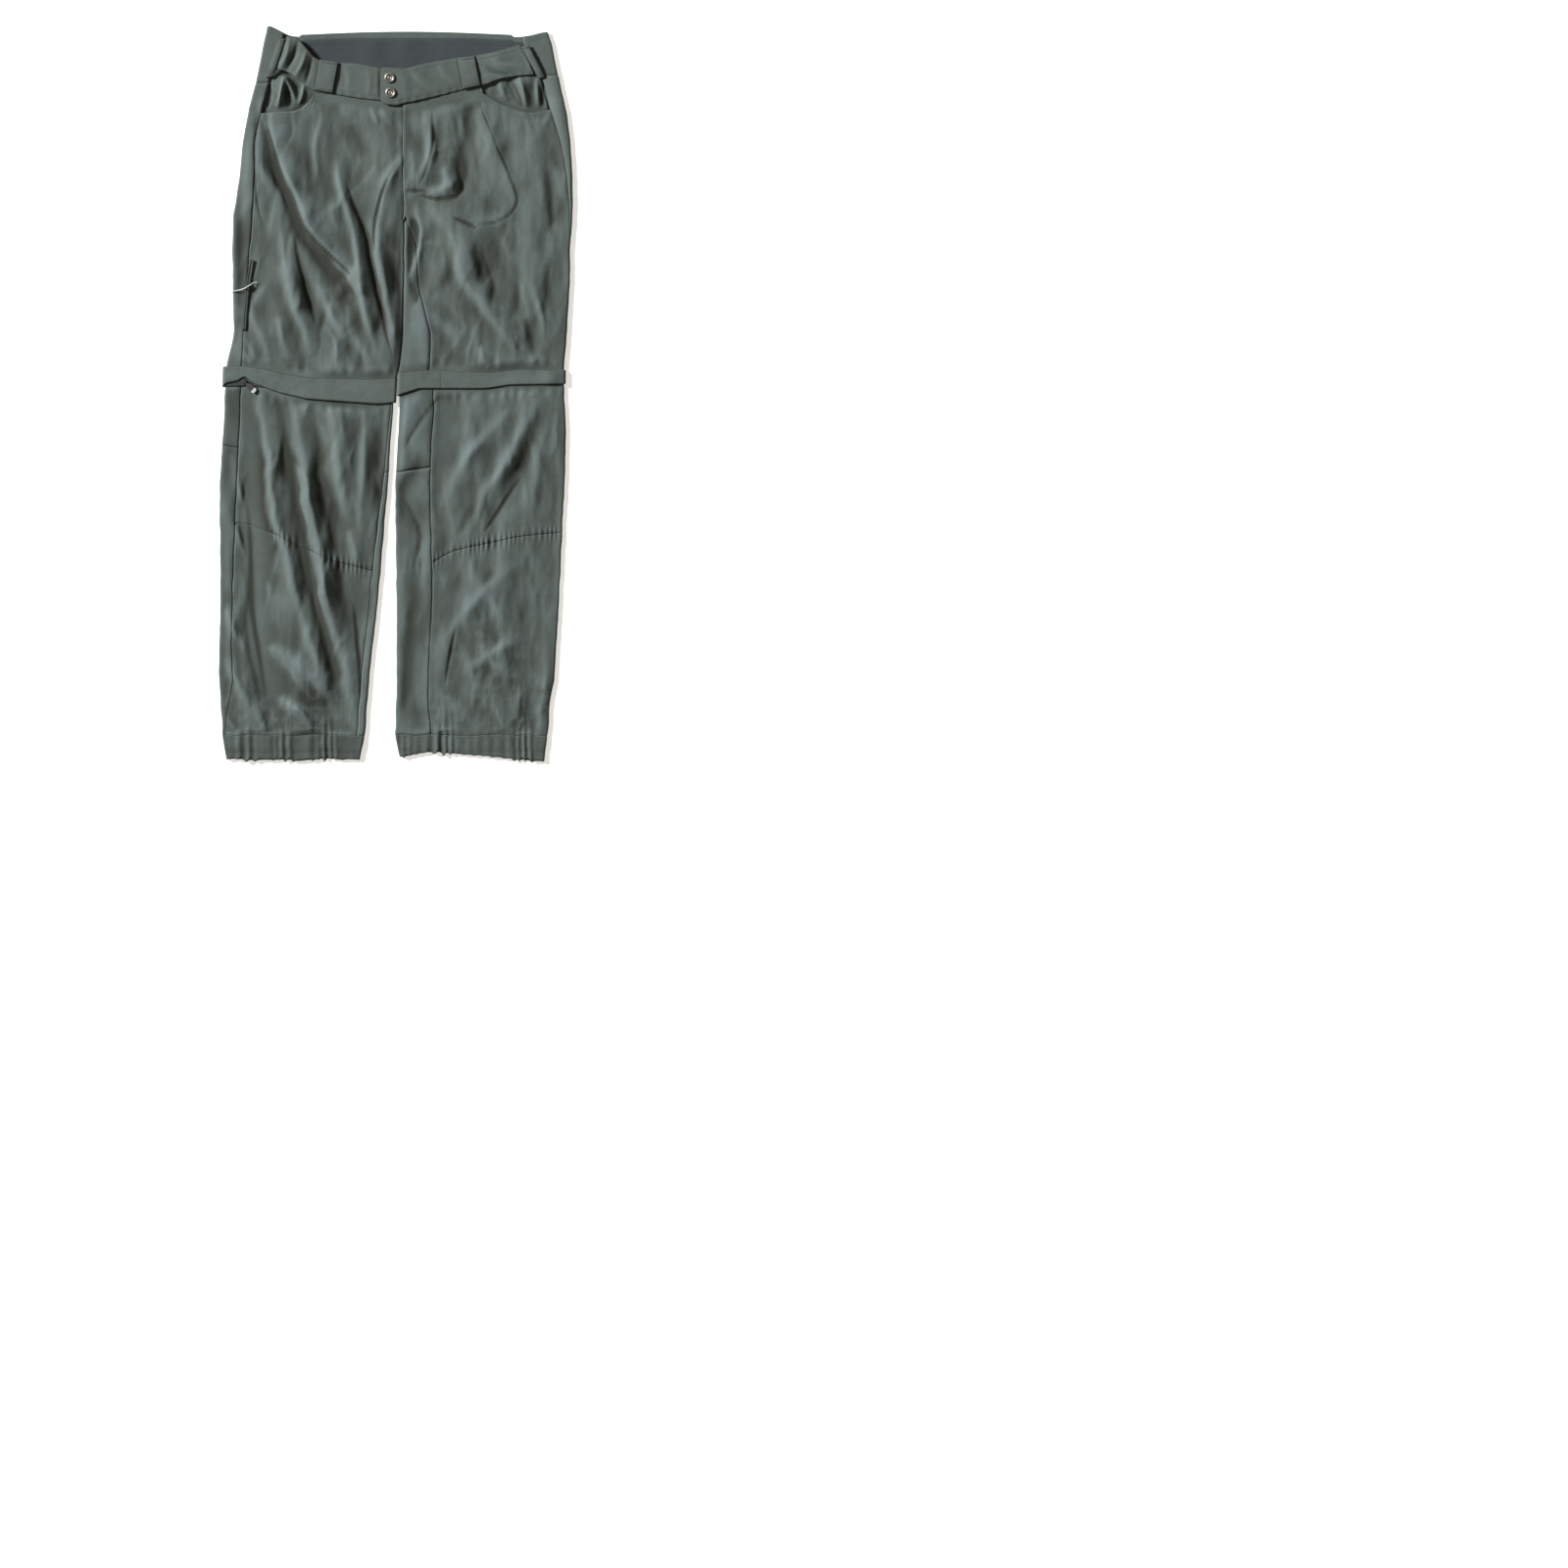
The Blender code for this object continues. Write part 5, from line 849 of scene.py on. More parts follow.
class Panel:
    # A cut piece of a leg between two seams, `start` and `end` as s of y, and two edges, y of x and z.
    # way is -1 on a back, where s falls from the outseam
    def __init__(self, name, side, kind, start, end, top, bottom, rounded, way=1):
        self.name, self.side, self.kind, self.way = name, side, kind, way
        self.tube, self.start, self.end, self.top, self.bottom = tubes[kind, side], start, end, top, bottom
        self.rests, self.sewn = ["floor"], ((), (), (), ())
        tube, snug, ease = self.tube, 0.8, 5.0
        self.stops = [start]
        if "outer" in rounded:
            self.stops.append(lambda y: way * np.maximum(-tube.quarter, way * start(y) + snug))
            self.stops.append(lambda y: way * np.maximum(tube.quarter, way * start(y) + ease))
        if "inner" in rounded:
            self.stops.append(lambda y: way * np.minimum(tube.half(y) - tube.quarter, way * end(y) - ease))
            self.stops.append(lambda y: way * np.minimum(tube.half(y) + tube.quarter, way * end(y) - snug))
        self.stops.append(end)

    def spread(self, y, cells):
        which = np.repeat(np.arange(len(cells)), cells)
        part = np.concatenate([np.arange(count) / count for count in cells])
        which, part = np.append(which, len(cells) - 1), np.append(part, 1.0)
        at = [stop(y) for stop in self.stops]
        return sum((a + (b - a) * part) * (which == k) for k, (a, b) in enumerate(zip(at, at[1:])))

    def edgeHeights(self, sOf, edge, count, guess):
        y = np.full(count, float(guess))
        for _ in range(7):
            at = self.tube.place(y, sOf(y))[0]
            y = edge(at[:, 0], at[:, 2])
        return y

    def surface(self, s, y):
        # the flat tube, lifted by the relief where it faces up, and pressed in along its seams
        at, out = self.tube.place(y, s)
        x, z, facing = at[..., 0], at[..., 2], eased(out[..., 2])
        lift, shadeField = np.zeros(x.shape), np.zeros(x.shape)
        if self.kind in ("thigh", "lower"):
            lift, shadeField = reliefAt(self.side, self.kind, x, y + 0 * x)
        if self.kind == "thigh" and self.side == "left":
            fromFly = x - self.tube.at("inner", y)
            lift = lift + 1.5 * eased(1 - fromFly / 30) * eased((y - 286) / 24)
        gaps = [self.way * (s - self.start(y)), self.way * (self.end(y) - s), self.top(x, z) - y,
                y - self.bottom(x, z)]
        nearest = np.minimum.reduce([np.clip(gap, 0, 50) for gap in gaps])
        welt = np.exp(-(((nearest - seamLook["weltAt"]) / seamLook["weltHalf"]) ** 4))
        press = seamLook["welt"] * welt - seamLook["press"] * (1 - eased(nearest / seamLook["edge"]))
        for gap, distances in zip(gaps, self.sewn):
            for distance in distances:
                press = press - seamLook["press"] * np.exp(-(((gap - distance) / seamLook["stitchHalf"]) ** 2))
        points = at + out * press[..., None] + bodyUp * (lift * facing)[..., None]
        return points, out, shadeField * facing, nearest

    def build(self, column, row, sewn=((), (), (), ())):
        self.sewn = sewn
        panels[self.node] = self
        guessTop, guessLow = {"thigh": (300, 60), "lower": (-60, -420), "waist": (500, 450)}[self.kind]
        reach = [np.mean([abs(float(b(y) - a(y))) for y in (guessTop, guessLow)])
                 for a, b in zip(self.stops, self.stops[1:])]
        cells = [max(1, round(length / (0.9 if 6 < length < 14 else column))) for length in reach]
        sOf = lambda y: self.spread(y, cells)
        count = sum(cells) + 1
        first = self.edgeHeights(sOf, self.top, count, guessTop)
        last = self.edgeHeights(sOf, self.bottom, count, guessLow)
        rows = max(4, round(float(np.mean(first - last)) / row))
        v = np.linspace(0, 1, rows + 1)
        v = v + 0.35 / (2 * math.pi) * np.sin(2 * math.pi * v) * -1  # finer near both edges
        y = first + (last - first) * v[:, None]
        s = self.spread(y, cells)
        outside, out, shadeField, nearest = self.surface(s, y)
        inside = outside - cloth["thick"] * out
        # Painted shade where the cloth lies below the cloth around, in creases and hollows; where it stands above it,
        # on fold crests, a painted highlight; and a narrow band of wear along the edges.
        sunk = softened(shadeField, seamLook["shadeBlur"]) - shadeField  # how far below the cloth around
        wearAndHighlight = np.exp(-((nearest / 1.3) ** 2)) * 0.12 + np.clip(-sunk / 5, 0, 0.35)
        deep = np.clip((sunk + 0.3) / 2.4, 0, 1)
        uv = np.stack([s, y], -1)
        flip = facesOutward(outside, out)
        piece = addShell(self.name, outside, inside, uv, {"wearAndHighlight": wearAndHighlight, "shadeField": deep}, "nylon", self.node,
                         flip=not flip)
        declareCut(piece, outside, float(np.ptp(s, axis=1).max()), float(np.ptp(y)), self.rests)
        self.sew(sewn, sOf, count, guessTop, guessLow)
        return piece

    def sew(self, sewn, sOf, count, guessTop, guessLow):
        group = "sewing" + self.kind.title() + self.side.title()
        for seam, sign, distances in ((self.start, 1, sewn[0]), (self.end, -1, sewn[1])):
            for distance in distances:
                run = lambda y: seam(y) + self.way * sign * distance
                top = self.edgeHeights(run, self.top, 1, guessTop)[0] - 2
                low = self.edgeHeights(run, self.bottom, 1, guessLow)[0] + 2
                y = np.linspace(top, low, int((top - low) / 1.2))
                points, out, *_ = self.surface(run(y), y)
                addStitches(group, points, out)
        for edge, sign, guess, distances in ((self.top, -1, guessTop, sewn[2]), (self.bottom, 1, guessLow, sewn[3])):
            for distance in distances:
                y = self.edgeHeights(sOf, edge, count, guess) + sign * distance
                points, out, *_ = self.surface(sOf(y), y)
                addStitches(group, points[2:-2], out[2:-2])


def outSeam(tube, gap=0.0):
    return lambda y: tube.inboard(tube.at("outSeam", y)) - gap


def inSeam(tube):
    return lambda y: tube.half(y) - tube.inboard(tube.at("inSeam", y)) - tube.at("joined", y) * cloth["gap"] / 2


def backSeam(tube):
    def run(y):
        joined = np.clip(3 * tube.at("joined", y) - 0.35, 0, 1)
        seat = -(tube.quarter + tube.width(y) - tube.pastFly(y) - tube.radius) + cloth["gap"] / 2
        leg = -tube.half(y) - tube.inboard(tube.at("inSeam", y)) + cloth["gap"]
        return joined * seat + (1 - joined) * leg
    return run


def frontTop(side):
    waist, pocket = edgeLine("waist"), edgeLine("pocket" + side.title(), 5.0)
    corner, way = (-116.4 if side == "right" else 122.7), tubes["thigh", side].way
    return lambda x, z: np.where((x - corner) * way > 0, waist(x) + 3, pocket(x))


def kneeEdge(onFront, onBack):
    def edge(x, z):
        high = eased((z - 2.6) / 1.8)
        return high * onFront(x) + (1 - high) * onBack(x)
    return edge


def flatEdge(height):
    return lambda x, z: height(x)


def makeLegs():
    gap, loose, tape = cloth["gap"], cloth["loose"], heights["tape"]
    fine, coarse = (cloth["column"], cloth["row"]), cloth["backCells"]
    for side in ("right", "left"):
        name = side.title()
        thigh, lower = tubes["thigh", side], tubes["lower", side]
        zipLine = edgeLine("zip" + name)
        aboveZip = kneeEdge(lambda x, f=zipLine: f(x) + tape + loose,
                            lambda x, f=endsLine("flapTop" + name): f(x) + loose)
        belowZip = kneeEdge(lambda x, f=zipLine: f(x) - tape - loose,
                            lambda x, f=endsLine("flapLow" + name): f(x) - loose)
        knee, behind = kneeLines[side], endsLine("backKnee" + name)
        hemEdge = flatEdge(lambda x, side=side: hemTop(side, x) + gap / 2)
        right = side == "right"

        front = Panel("front" + name, side, "thigh", outSeam(thigh), inSeam(thigh), frontTop(side), aboveZip,
                      ["inner"] if right else ["outer"])
        front.node = "front_" + side
        front.build(*fine, (((2.2, 6.4) if right else ()), (), (), ()))
        back = Panel("back" + name, side, "thigh", outSeam(thigh, gap), backSeam(thigh),
                     flatEdge(lambda x: endsLine("back")(x) - gap), aboveZip,
                     ["outer"] if right else ["outer", "inner"], -1)
        back.node = "back_" + side
        back.build(*coarse, ((), (() if right else (2.2,)), (), ()))
        kneePanel = Panel("kneePanel" + name, side, "lower", outSeam(lower), inSeam(lower), belowZip,
                          flatEdge(lambda x, k=knee: k(x) + gap / 2), [] if right else ["outer"])
        kneePanel.node = "knee_panel_" + side
        kneePanel.build(*fine, ((2.2,) if right else (), (2.2,), (), ()))
        shin = Panel("shinPanel" + name, side, "lower", outSeam(lower), inSeam(lower),
                     flatEdge(lambda x, k=knee: k(x) - gap / 2), hemEdge, [] if right else ["outer"])
        shin.node = "shin_panel_" + side
        shin.build(*fine, ((2.2,) if right else (), (2.2,), (2.4,), ()))
        around = ["outer", "inner"] if right else ["inner"]
        backKnee = Panel("backKnee" + name, side, "lower", outSeam(lower, gap), backSeam(lower), belowZip,
                         flatEdge(lambda x, b=behind: b(x) + gap / 2), around, -1)
        backKnee.node = "back_knee_" + side
        backKnee.build(*coarse, ((2.2,) if right else (), (2.2,), (), ()))
        calf = Panel("backCalf" + name, side, "lower", outSeam(lower, gap), backSeam(lower),
                     flatEdge(lambda x, b=behind: b(x) - gap / 2), hemEdge, around, -1)
        calf.node = "back_calf_" + side
        calf.build(*coarse, ((2.2,) if right else (), (2.2,), (2.4,), ()))
        print(side, "leg made,", pieceTotals["triangles"], "triangles")


panels = {}
makeLegs()


# Rings round the legs: flaps, zips and hem bands

def ringColumns(tube, y, step):
    # s at points all round: both edges in fine steps, the front in even ones, the back in wider ones
    half, quarter = float(tube.half(y)), tube.quarter
    arc = np.linspace(-quarter, quarter, 9)
    front = np.linspace(quarter, half - quarter, round((half - 2 * quarter) / step) + 1)
    under = np.linspace(half + quarter, 2 * half - quarter, round((half - 2 * quarter) / step / 3) + 1)
    return np.concatenate([arc, front[1:-1], half + arc, under[1:]])


def frontOrBack(onFront, onBack, height):
    return lambda x, z: np.where(np.asarray(z) > height, onFront(x), onBack(x))


def makeRing(name, node, side, kind, top, low, rows, step, relief, material="nylon", sewn=(),
             sharpTop=1.0, shade=0.0):
    tube = tubes[kind, side]
    middle = float(np.mean(top(np.array([tube.at("outer", 0), tube.at("inner", 0)]), 0)))
    s = ringColumns(tube, middle, step)
    rough = tube.place(np.full_like(s, middle), s)[0]
    first, last = top(rough[:, 0], rough[:, 2]), low(rough[:, 0], rough[:, 2])

    def surface(down, s, first, last):  # down is how far below the upper edge, in millimetres
        y = first - down
        at, out = tube.place(y, s * tube.half(y) / tube.half(middle))
        nearest = np.minimum(down + 1.3 * (1 - sharpTop), y - last)
        press = -0.45 * (1 - eased(nearest / 1.3))
        for distance in sewn:
            press = press - seamLook["stitchPress"] * np.exp(-(((down - distance) / seamLook["stitchHalf"]) ** 2))
        lift = relief(at[..., 0], y, down) * eased(out[..., 2])
        return at + out * press[..., None] + bodyUp * lift[..., None], out, nearest, lift

    v = np.linspace(0, 1, rows + 1)[:, None]
    outside, out, nearest, lift = surface((first - last) * v, s, first, last)
    uv = np.stack([s + 0 * v, first - (first - last) * v], -1)
    # painted shade: a dark line along both rims, and over a hem band, shade that is darkest in the valleys of its
    # gathers
    deep = np.maximum(0.9 * (1 - eased(nearest / 1.0)), shade * np.clip(0.75 - 0.35 * lift, 0, 1))
    extra = {"wearAndHighlight": 0 * nearest, "shadeField": deep}
    flip = facesOutward(outside, out)
    piece = addShell(name, outside, outside - cloth["thick"] * out, uv, extra, material, node, True, not flip)
    declareCut(piece, outside, float(np.ptp(s)), float((first - last).max()), ["floor"])
    front = (s > tube.quarter * 0.6) & (s < tube.half(middle) - tube.quarter * 0.6)
    for distance in sewn:
        fine = np.linspace(s[front].min(), s[front].max(), 400)
        edgeTop, edgeLow = (np.interp(fine, s[front], edge[front]) for edge in (first, last))
        points, normals, *_ = surface(np.full_like(fine, distance), fine, edgeTop, edgeLow)
        addStitches("sewingRings" + side.title(), points, normals)
    return piece


flapLook = {"seam": {"right": -220.0, "left": 65.0}, "slider": (222.0, 23.3), "room": 3.0}
hemLook = {"gather": 0.9, "scallop": 2.3}
teethLook = {"pitch": 1.7, "long": 3.2, "wide": 0.85, "high": 0.5}


def addTeeth(group, line, normals, pitch):
    # a zip's teeth: small blocks across the zip's middle line, at even steps along it
    steps = np.linalg.norm(np.diff(line, axis=0), axis=1)
    along = np.concatenate([[0], np.cumsum(steps)])
    at = np.arange(pitch / 2, along[-1], pitch)
    pick = lambda values: np.stack([np.interp(at, along, values[:, k]) for k in range(3)], -1)
    middle, up = pick(line), pick(normals)
    way = pick(np.gradient(line, axis=0))
    way /= np.linalg.norm(way, axis=1)[:, None]
    aside = np.cross(way, up)
    shift = np.where(np.arange(len(at)) % 2, 0.35, -0.35)[:, None]
    corners = [middle + aside * (a * teethLook["long"] / 2 + shift) + way * b * teethLook["wide"] / 2 * (1 - 0.3 * c)
               + up * c * teethLook["high"] for c in (0, 1) for b in (-1, 1) for a in (-1, 1)]
    points = np.stack(corners, 1).reshape(-1, 3)
    quads = np.array([(0, 1, 5, 4), (1, 3, 7, 5), (3, 2, 6, 7), (2, 0, 4, 6), (4, 5, 7, 6), (1, 0, 2, 3)])
    faces = (np.arange(len(at))[:, None, None] * 8 + quads).reshape(-1, 4)
    side = np.dot(np.cross(points[5] - points[4], points[7] - points[4]), up[0])
    addPiece(group, points, faces if side > 0 else faces[:, ::-1], "tape", None, False)


def makeRings():
    tape = heights["tape"]
    for side in ("right", "left"):
        name = side.title()
        zipLine = edgeLine("zip" + name)

        makeRing("kneeZip" + name, "knee_zip_" + side, side, "zip", lambda x, z: zipLine(x) + tape,
                 lambda x, z: zipLine(x) - tape, 6, 3.2,
                 lambda x, y, down: -0.12 * np.exp(-((down - tape) / 0.5) ** 2), "tape")
        tube = tubes["zip", side]
        xs = np.linspace(tube.at("outer", 0) + 6 * tube.way, tube.at("inner", 0) - 6 * tube.way, 300)
        line = np.stack([xs, zipLine(xs), np.full_like(xs, heights["thigh"] - 0.28)], -1)
        addTeeth("kneeZipTeeth" + name, line, np.tile(bodyUp, (len(xs), 1)), teethLook["pitch"])

        middle = heights["flap"] / 2
        top = frontOrBack(edgeLine("flapTop" + name), endsLine("flapTop" + name), middle)
        low = frontOrBack(edgeLine("flapLow" + name, 2.0), endsLine("flapLow" + name), middle)
        seamAt = flapLook["seam"][side]

        def flapRelief(x, y, down):
            lift = wrinkle(x, y, "flap", "smallFlap") + 0.3 * eased((down - 8) / 8)
            lift += 0.35 * ripple(x, down - 2, "flap") * (0.5 + 0.5 * drift(x, y, 40, 40, 9))
            if side == "left":
                px, py = flapLook["slider"]
                lift += flapLook["room"] * np.exp(-((x - px) ** 2 + (y - py) ** 2) / 13.0**2)
            return lift - 0.45 * np.exp(-(((x - seamAt) / 0.9) ** 2))

        makeRing("kneeFlap" + name, "knee_flap_" + side, side, "flap", top, low, 14, 1.6, flapRelief,
                 sewn=(4.6,))

        hem = edgeLine("hem" + name, 6.0)

        def gathers(x, y, down, side=side):
            waves = hemGathers(side, x, down) * (0.8 + (hemLook["gather"] - 0.8) * eased(down / 12))
            return waves + wrinkle(x, y, "hem") * eased(down / 6) - 0.5 * np.exp(-(((down - 24) / 3.5) ** 2))

        # the hem bands carry painted shade, more on the right leg than on the left
        makeRing("hemBand" + name, "hem_band_" + side, side, "lower",
                 lambda x, z, side=side: hemTop(side, x) - cloth["gap"] / 2,
                 lambda x, z, side=side: hem(x) + hemLook["scallop"] * gatherAt(side, x) * (0.4 + 0.6 * (z > 2)),
                 16, 1.25, gathers, sewn=(3.0,), sharpTop=0.3, shade={"right": 0.85, "left": 0.55}[side])
    print("rings made,", pieceTotals["triangles"], "triangles")


makeRings()


# Strips that lie on the solids they replace

def solidTop(node):
    # the height of a solid's upper side at each place, from its triangles that look up; a place past
    # its edges takes the height of the nearest corner
    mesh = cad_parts[node].data
    mesh.calc_loop_triangles()
    corners = np.empty(len(mesh.vertices) * 3)
    mesh.vertices.foreach_get("co", corners)
    picks = np.empty(len(mesh.loop_triangles) * 3, np.int32)
    mesh.loop_triangles.foreach_get("vertices", picks)
    tri = corners.reshape(-1, 3)[picks.reshape(-1, 3)] / mm
    normal = np.cross(tri[:, 1] - tri[:, 0], tri[:, 2] - tri[:, 0])
    tri = tri[normal[:, 2] > 0.3 * np.linalg.norm(normal, axis=1)]

    def top(x, y):
        px, py = x.ravel(), y.ravel()
        found = np.full(len(px), -1e9)
        for a, b, c in tri:
            whole = (b[0] - a[0]) * (c[1] - a[1]) - (c[0] - a[0]) * (b[1] - a[1])
            u = ((px - a[0]) * (c[1] - a[1]) - (c[0] - a[0]) * (py - a[1])) / whole
            v = ((b[0] - a[0]) * (py - a[1]) - (px - a[0]) * (b[1] - a[1])) / whole
            inside = (u >= -1e-3) & (v >= -1e-3) & (u + v <= 1.001)
            z = a[2] + u * (b[2] - a[2]) + v * (c[2] - a[2])
            found = np.where(inside, np.maximum(found, z), found)
        missed = found < -1e8
        if missed.any():
            ends = tri.reshape(-1, 3)
            away = (px[missed, None] - ends[:, 0]) ** 2 + (py[missed, None] - ends[:, 1]) ** 2
            found[missed] = ends[away.argmin(1), 2]
        return found.reshape(x.shape)
    return top


def gridNormals(points):
    normal = np.cross(np.gradient(points, axis=1), np.gradient(points, axis=0))
    normal /= np.linalg.norm(normal, axis=-1)[..., None]
    return normal * np.sign(normal[..., 2].mean())


class Strip:
    # A piece of cloth from grids of x and y. Its height is its solid's own, softened, plus its relief.
    # sewn gives the rows of stitches as distances from its top, low, start and end
    # edges; shade darkens it, and sink lowers its low edge
    def __init__(self, name, node, x, y, relief=0.0, thick=1.0, material="nylon", soften=10, sewn=(),
                 rests=("floor",), shade=0.0, sink=0.0):
        down = np.concatenate([0 * x[:1], np.cumsum(np.hypot(np.diff(x, axis=0), np.diff(y, axis=0)), 0)])
        over = np.concatenate([0 * x[:, :1], np.cumsum(np.hypot(np.diff(x, axis=1), np.diff(y, axis=1)), 1)], 1)
        edges = {"top": down, "low": down[-1] - down, "start": over, "end": over[:, -1:] - over}
        nearest = np.minimum.reduce(list(edges.values()))
        z = softened(solidTop(node)(x, y), soften) + relief - 0.55 * (1 - eased(nearest / 1.3))
        z = z - sink * np.exp(-((edges["low"] / 5) ** 2))
        for edge, distance in sewn:
            z = z - seamLook["stitchPress"] * np.exp(-(((edges[edge] - distance) / seamLook["stitchHalf"]) ** 2))
        self.top = np.stack([x, y, z], -1)
        self.normals = gridNormals(self.top)
        self.height, self.width = down[-1].mean(), over[:, -1].mean()
        inside = self.top - self.normals * thick
        # painted shade in the hollows of the relief, a dark line along the rims, and any shade given; a lighter line
        # just inside the edges
        deep = np.clip((softened(relief + 0 * x, 24) - relief + 0.1) / 1.4, 0, 1)
        deep = np.maximum(np.maximum(deep, 0.9 * (1 - eased(nearest / 1.0))), shade)
        extra = {"wearAndHighlight": 0.1 * np.exp(-(((nearest - 1.8) / 0.8) ** 2)), "shadeField": deep}
        flip = facesOutward(self.top, self.normals)
        self.piece = addShell(name, self.top, inside, np.stack([over, -down], -1), extra, material, node,
                              False, not flip)
        declareCut(self.piece, self.top, float(over.max()), float(down.max()), list(rests))
        for edge, distance in sewn:
            self.sew("sewingStrips", edge, distance)

    def run(self, u, v):  # points and normals at fractions across and down
        rows, columns = self.top.shape[:2]
        i, j = v * (rows - 1), u * (columns - 1)
        i0 = np.clip(np.floor(i).astype(int), 0, rows - 2)
        j0 = np.clip(np.floor(j).astype(int), 0, columns - 2)
        a, b = (i - i0)[:, None], (j - j0)[:, None]
        pick = lambda g: (g[i0, j0] * (1 - b) + g[i0, j0 + 1] * b) * (1 - a) + (
            g[i0 + 1, j0] * (1 - b) + g[i0 + 1, j0 + 1] * b) * a
        return pick(self.top), pick(self.normals)

    def sew(self, group, edge, distance, begin=0.015, end=0.985, pitch=None):
        t = np.linspace(begin, end, 240)
        if edge in ("top", "low"):
            part = distance / self.height + 0 * t
            points, normals = self.run(t, part if edge == "top" else 1 - part)
        else:
            part = distance / self.width + 0 * t
            points, normals = self.run(part if edge == "start" else 1 - part, t)
        addStitches(group, points, normals, pitch)


frontBands = {  # x and y of the upper edge, x and y of the lower edge, from the fly or the tab outwards
    "right": ((9.7, 460.1, 9.7, 412.0), (-21.9, 462.2, -23.3, 415.6), (-56.6, 468.4, -49.7, 418.4),
              (-81.7, 469.8, -84.4, 424), (-109.5, 474.0, -116.4, 429.5), (-123.4, 487.0, -136.0, 443.5),
              (-138.7, 503.0, -153.9, 456.0), (-154.0, 507.5, -171.5, 459.5)),
    "left": ((-19.8, 463.6, -19.8, 411.0), (-5.2, 462.2, -5.2, 408.8), (4.5, 461.7, 4.5, 408.8),
             (12.5, 461.2, 12.5, 411.2), (22.5, 463.2, 22.5, 413.2),
             (33.7, 466.3, 33.7, 415.6), (57.3, 471.2, 64.3, 422.6), (86.5, 476.1, 93.5, 430.2),
             (114.3, 479.6, 122.7, 436.5), (147.7, 486.5, 154.0, 447.5), (178.5, 495.5, 197.5, 452.5)),
}
bandCreases = {
    "right": ((3.5, 6, 7, (-150, 505), (-154, 480), (-166, 456)), (-3, 5, 5, (-138, 500), (-144, 478), (-156, 456)),
              (3.0, 5, 6, (-126, 486), (-132, 466), (-142, 448)), (-2.0, 4, 4, (-118, 478), (-122, 458), (-128, 438)),
              (0.8, 6, 8, (-70, 466), (-66, 440), (-70, 422)), (0.7, 6, 6, (-40, 462), (-36, 440), (-40, 420)),
              (-1.4, 2.2, 2.2, (-22, 466), (-22.3, 440), (-22, 410))),
    "left": ((1.2, 6, 9, (24, 455), (40, 440), (62, 428)), (0.9, 6, 6, (60, 466), (74, 450), (90, 436)),
             (1.6, 6, 7, (136, 476), (150, 466), (176, 462)), (-1.2, 5, 6, (128, 466), (140, 456), (170, 452)),
             (1.0, 5, 5, (186, 488), (190, 470), (196, 456))),
}
tabCorner = 6.0
beltLoops = {  # the two corners of the upper end, then of the lower end
    "beltLoopFrontRight": ("belt_loop_front_right", (-107.5, 473.5), (-80.5, 469.5), (-114.5, 431.0), (-88.5, 426.0)),
    "beltLoopFrontLeft": ("belt_loop_front_left", (87.0, 476.0), (112.5, 478.6), (96.0, 431.5), (121.0, 437.0)),
    "beltLoopSideRight": ("belt_loop_side_right", (-166.5, 501.0), (-155.5, 503.5), (-184.0, 448.0), (-173.5, 448.5)),
    "beltLoopSideLeft": ("belt_loop_side_left", (178.0, 492.0), (189.0, 494.0), (203.0, 446.0), (212.5, 448.5)),
}
slits = {"right": ((-180.4, 438.0), (-176.2, 458.7), (-158.4, 506.0)),
         "left": ((209.5, 438.0), (204.7, 449.0), (181.5, 497.0))}
facingCreases = {
    "right": ((7.5, 5, 6, (-157, 454), (-161, 434), (-167, 404)),
              (5.0, 5, 4, (-157, 450), (-149, 436), (-141, 416)),
              (-3.5, 5, 5, (-154, 432), (-153, 418), (-150, 404)), (3.5, 4, 5, (-130, 440), (-132, 424), (-137, 408)),
              (-2.5, 4, 4, (-178, 436), (-180, 420), (-182, 404)),
              (3.0, 4, 4, (-187, 436), (-189, 420), (-190, 404))),
    "left": ((4.5, 7, 6, (176, 450), (181, 430), (187, 406)), (-3.5, 5, 5, (158, 452), (172, 424), (183, 400)),
             (2.5, 6, 6, (146, 444), (152, 430), (158, 414)), (-2.0, 5, 5, (206, 440), (208, 420), (210, 404)),
             (3.0, 5, 5, (200, 446), (202, 425), (204, 404))),
}


def backBandTop(x, z):  # the back waistband's upper edge: a low arch, with a peak at each hip
    arch = np.where(np.abs(x - 15) < 150, 4.5 * np.cos((x - 15) / 95), -3)
    peaks = 15 * np.exp(-(((x + 181) / 22) ** 2)) + 6.5 * np.exp(-(((x - 214) / 20) ** 2))
    return 509.5 + arch + peaks


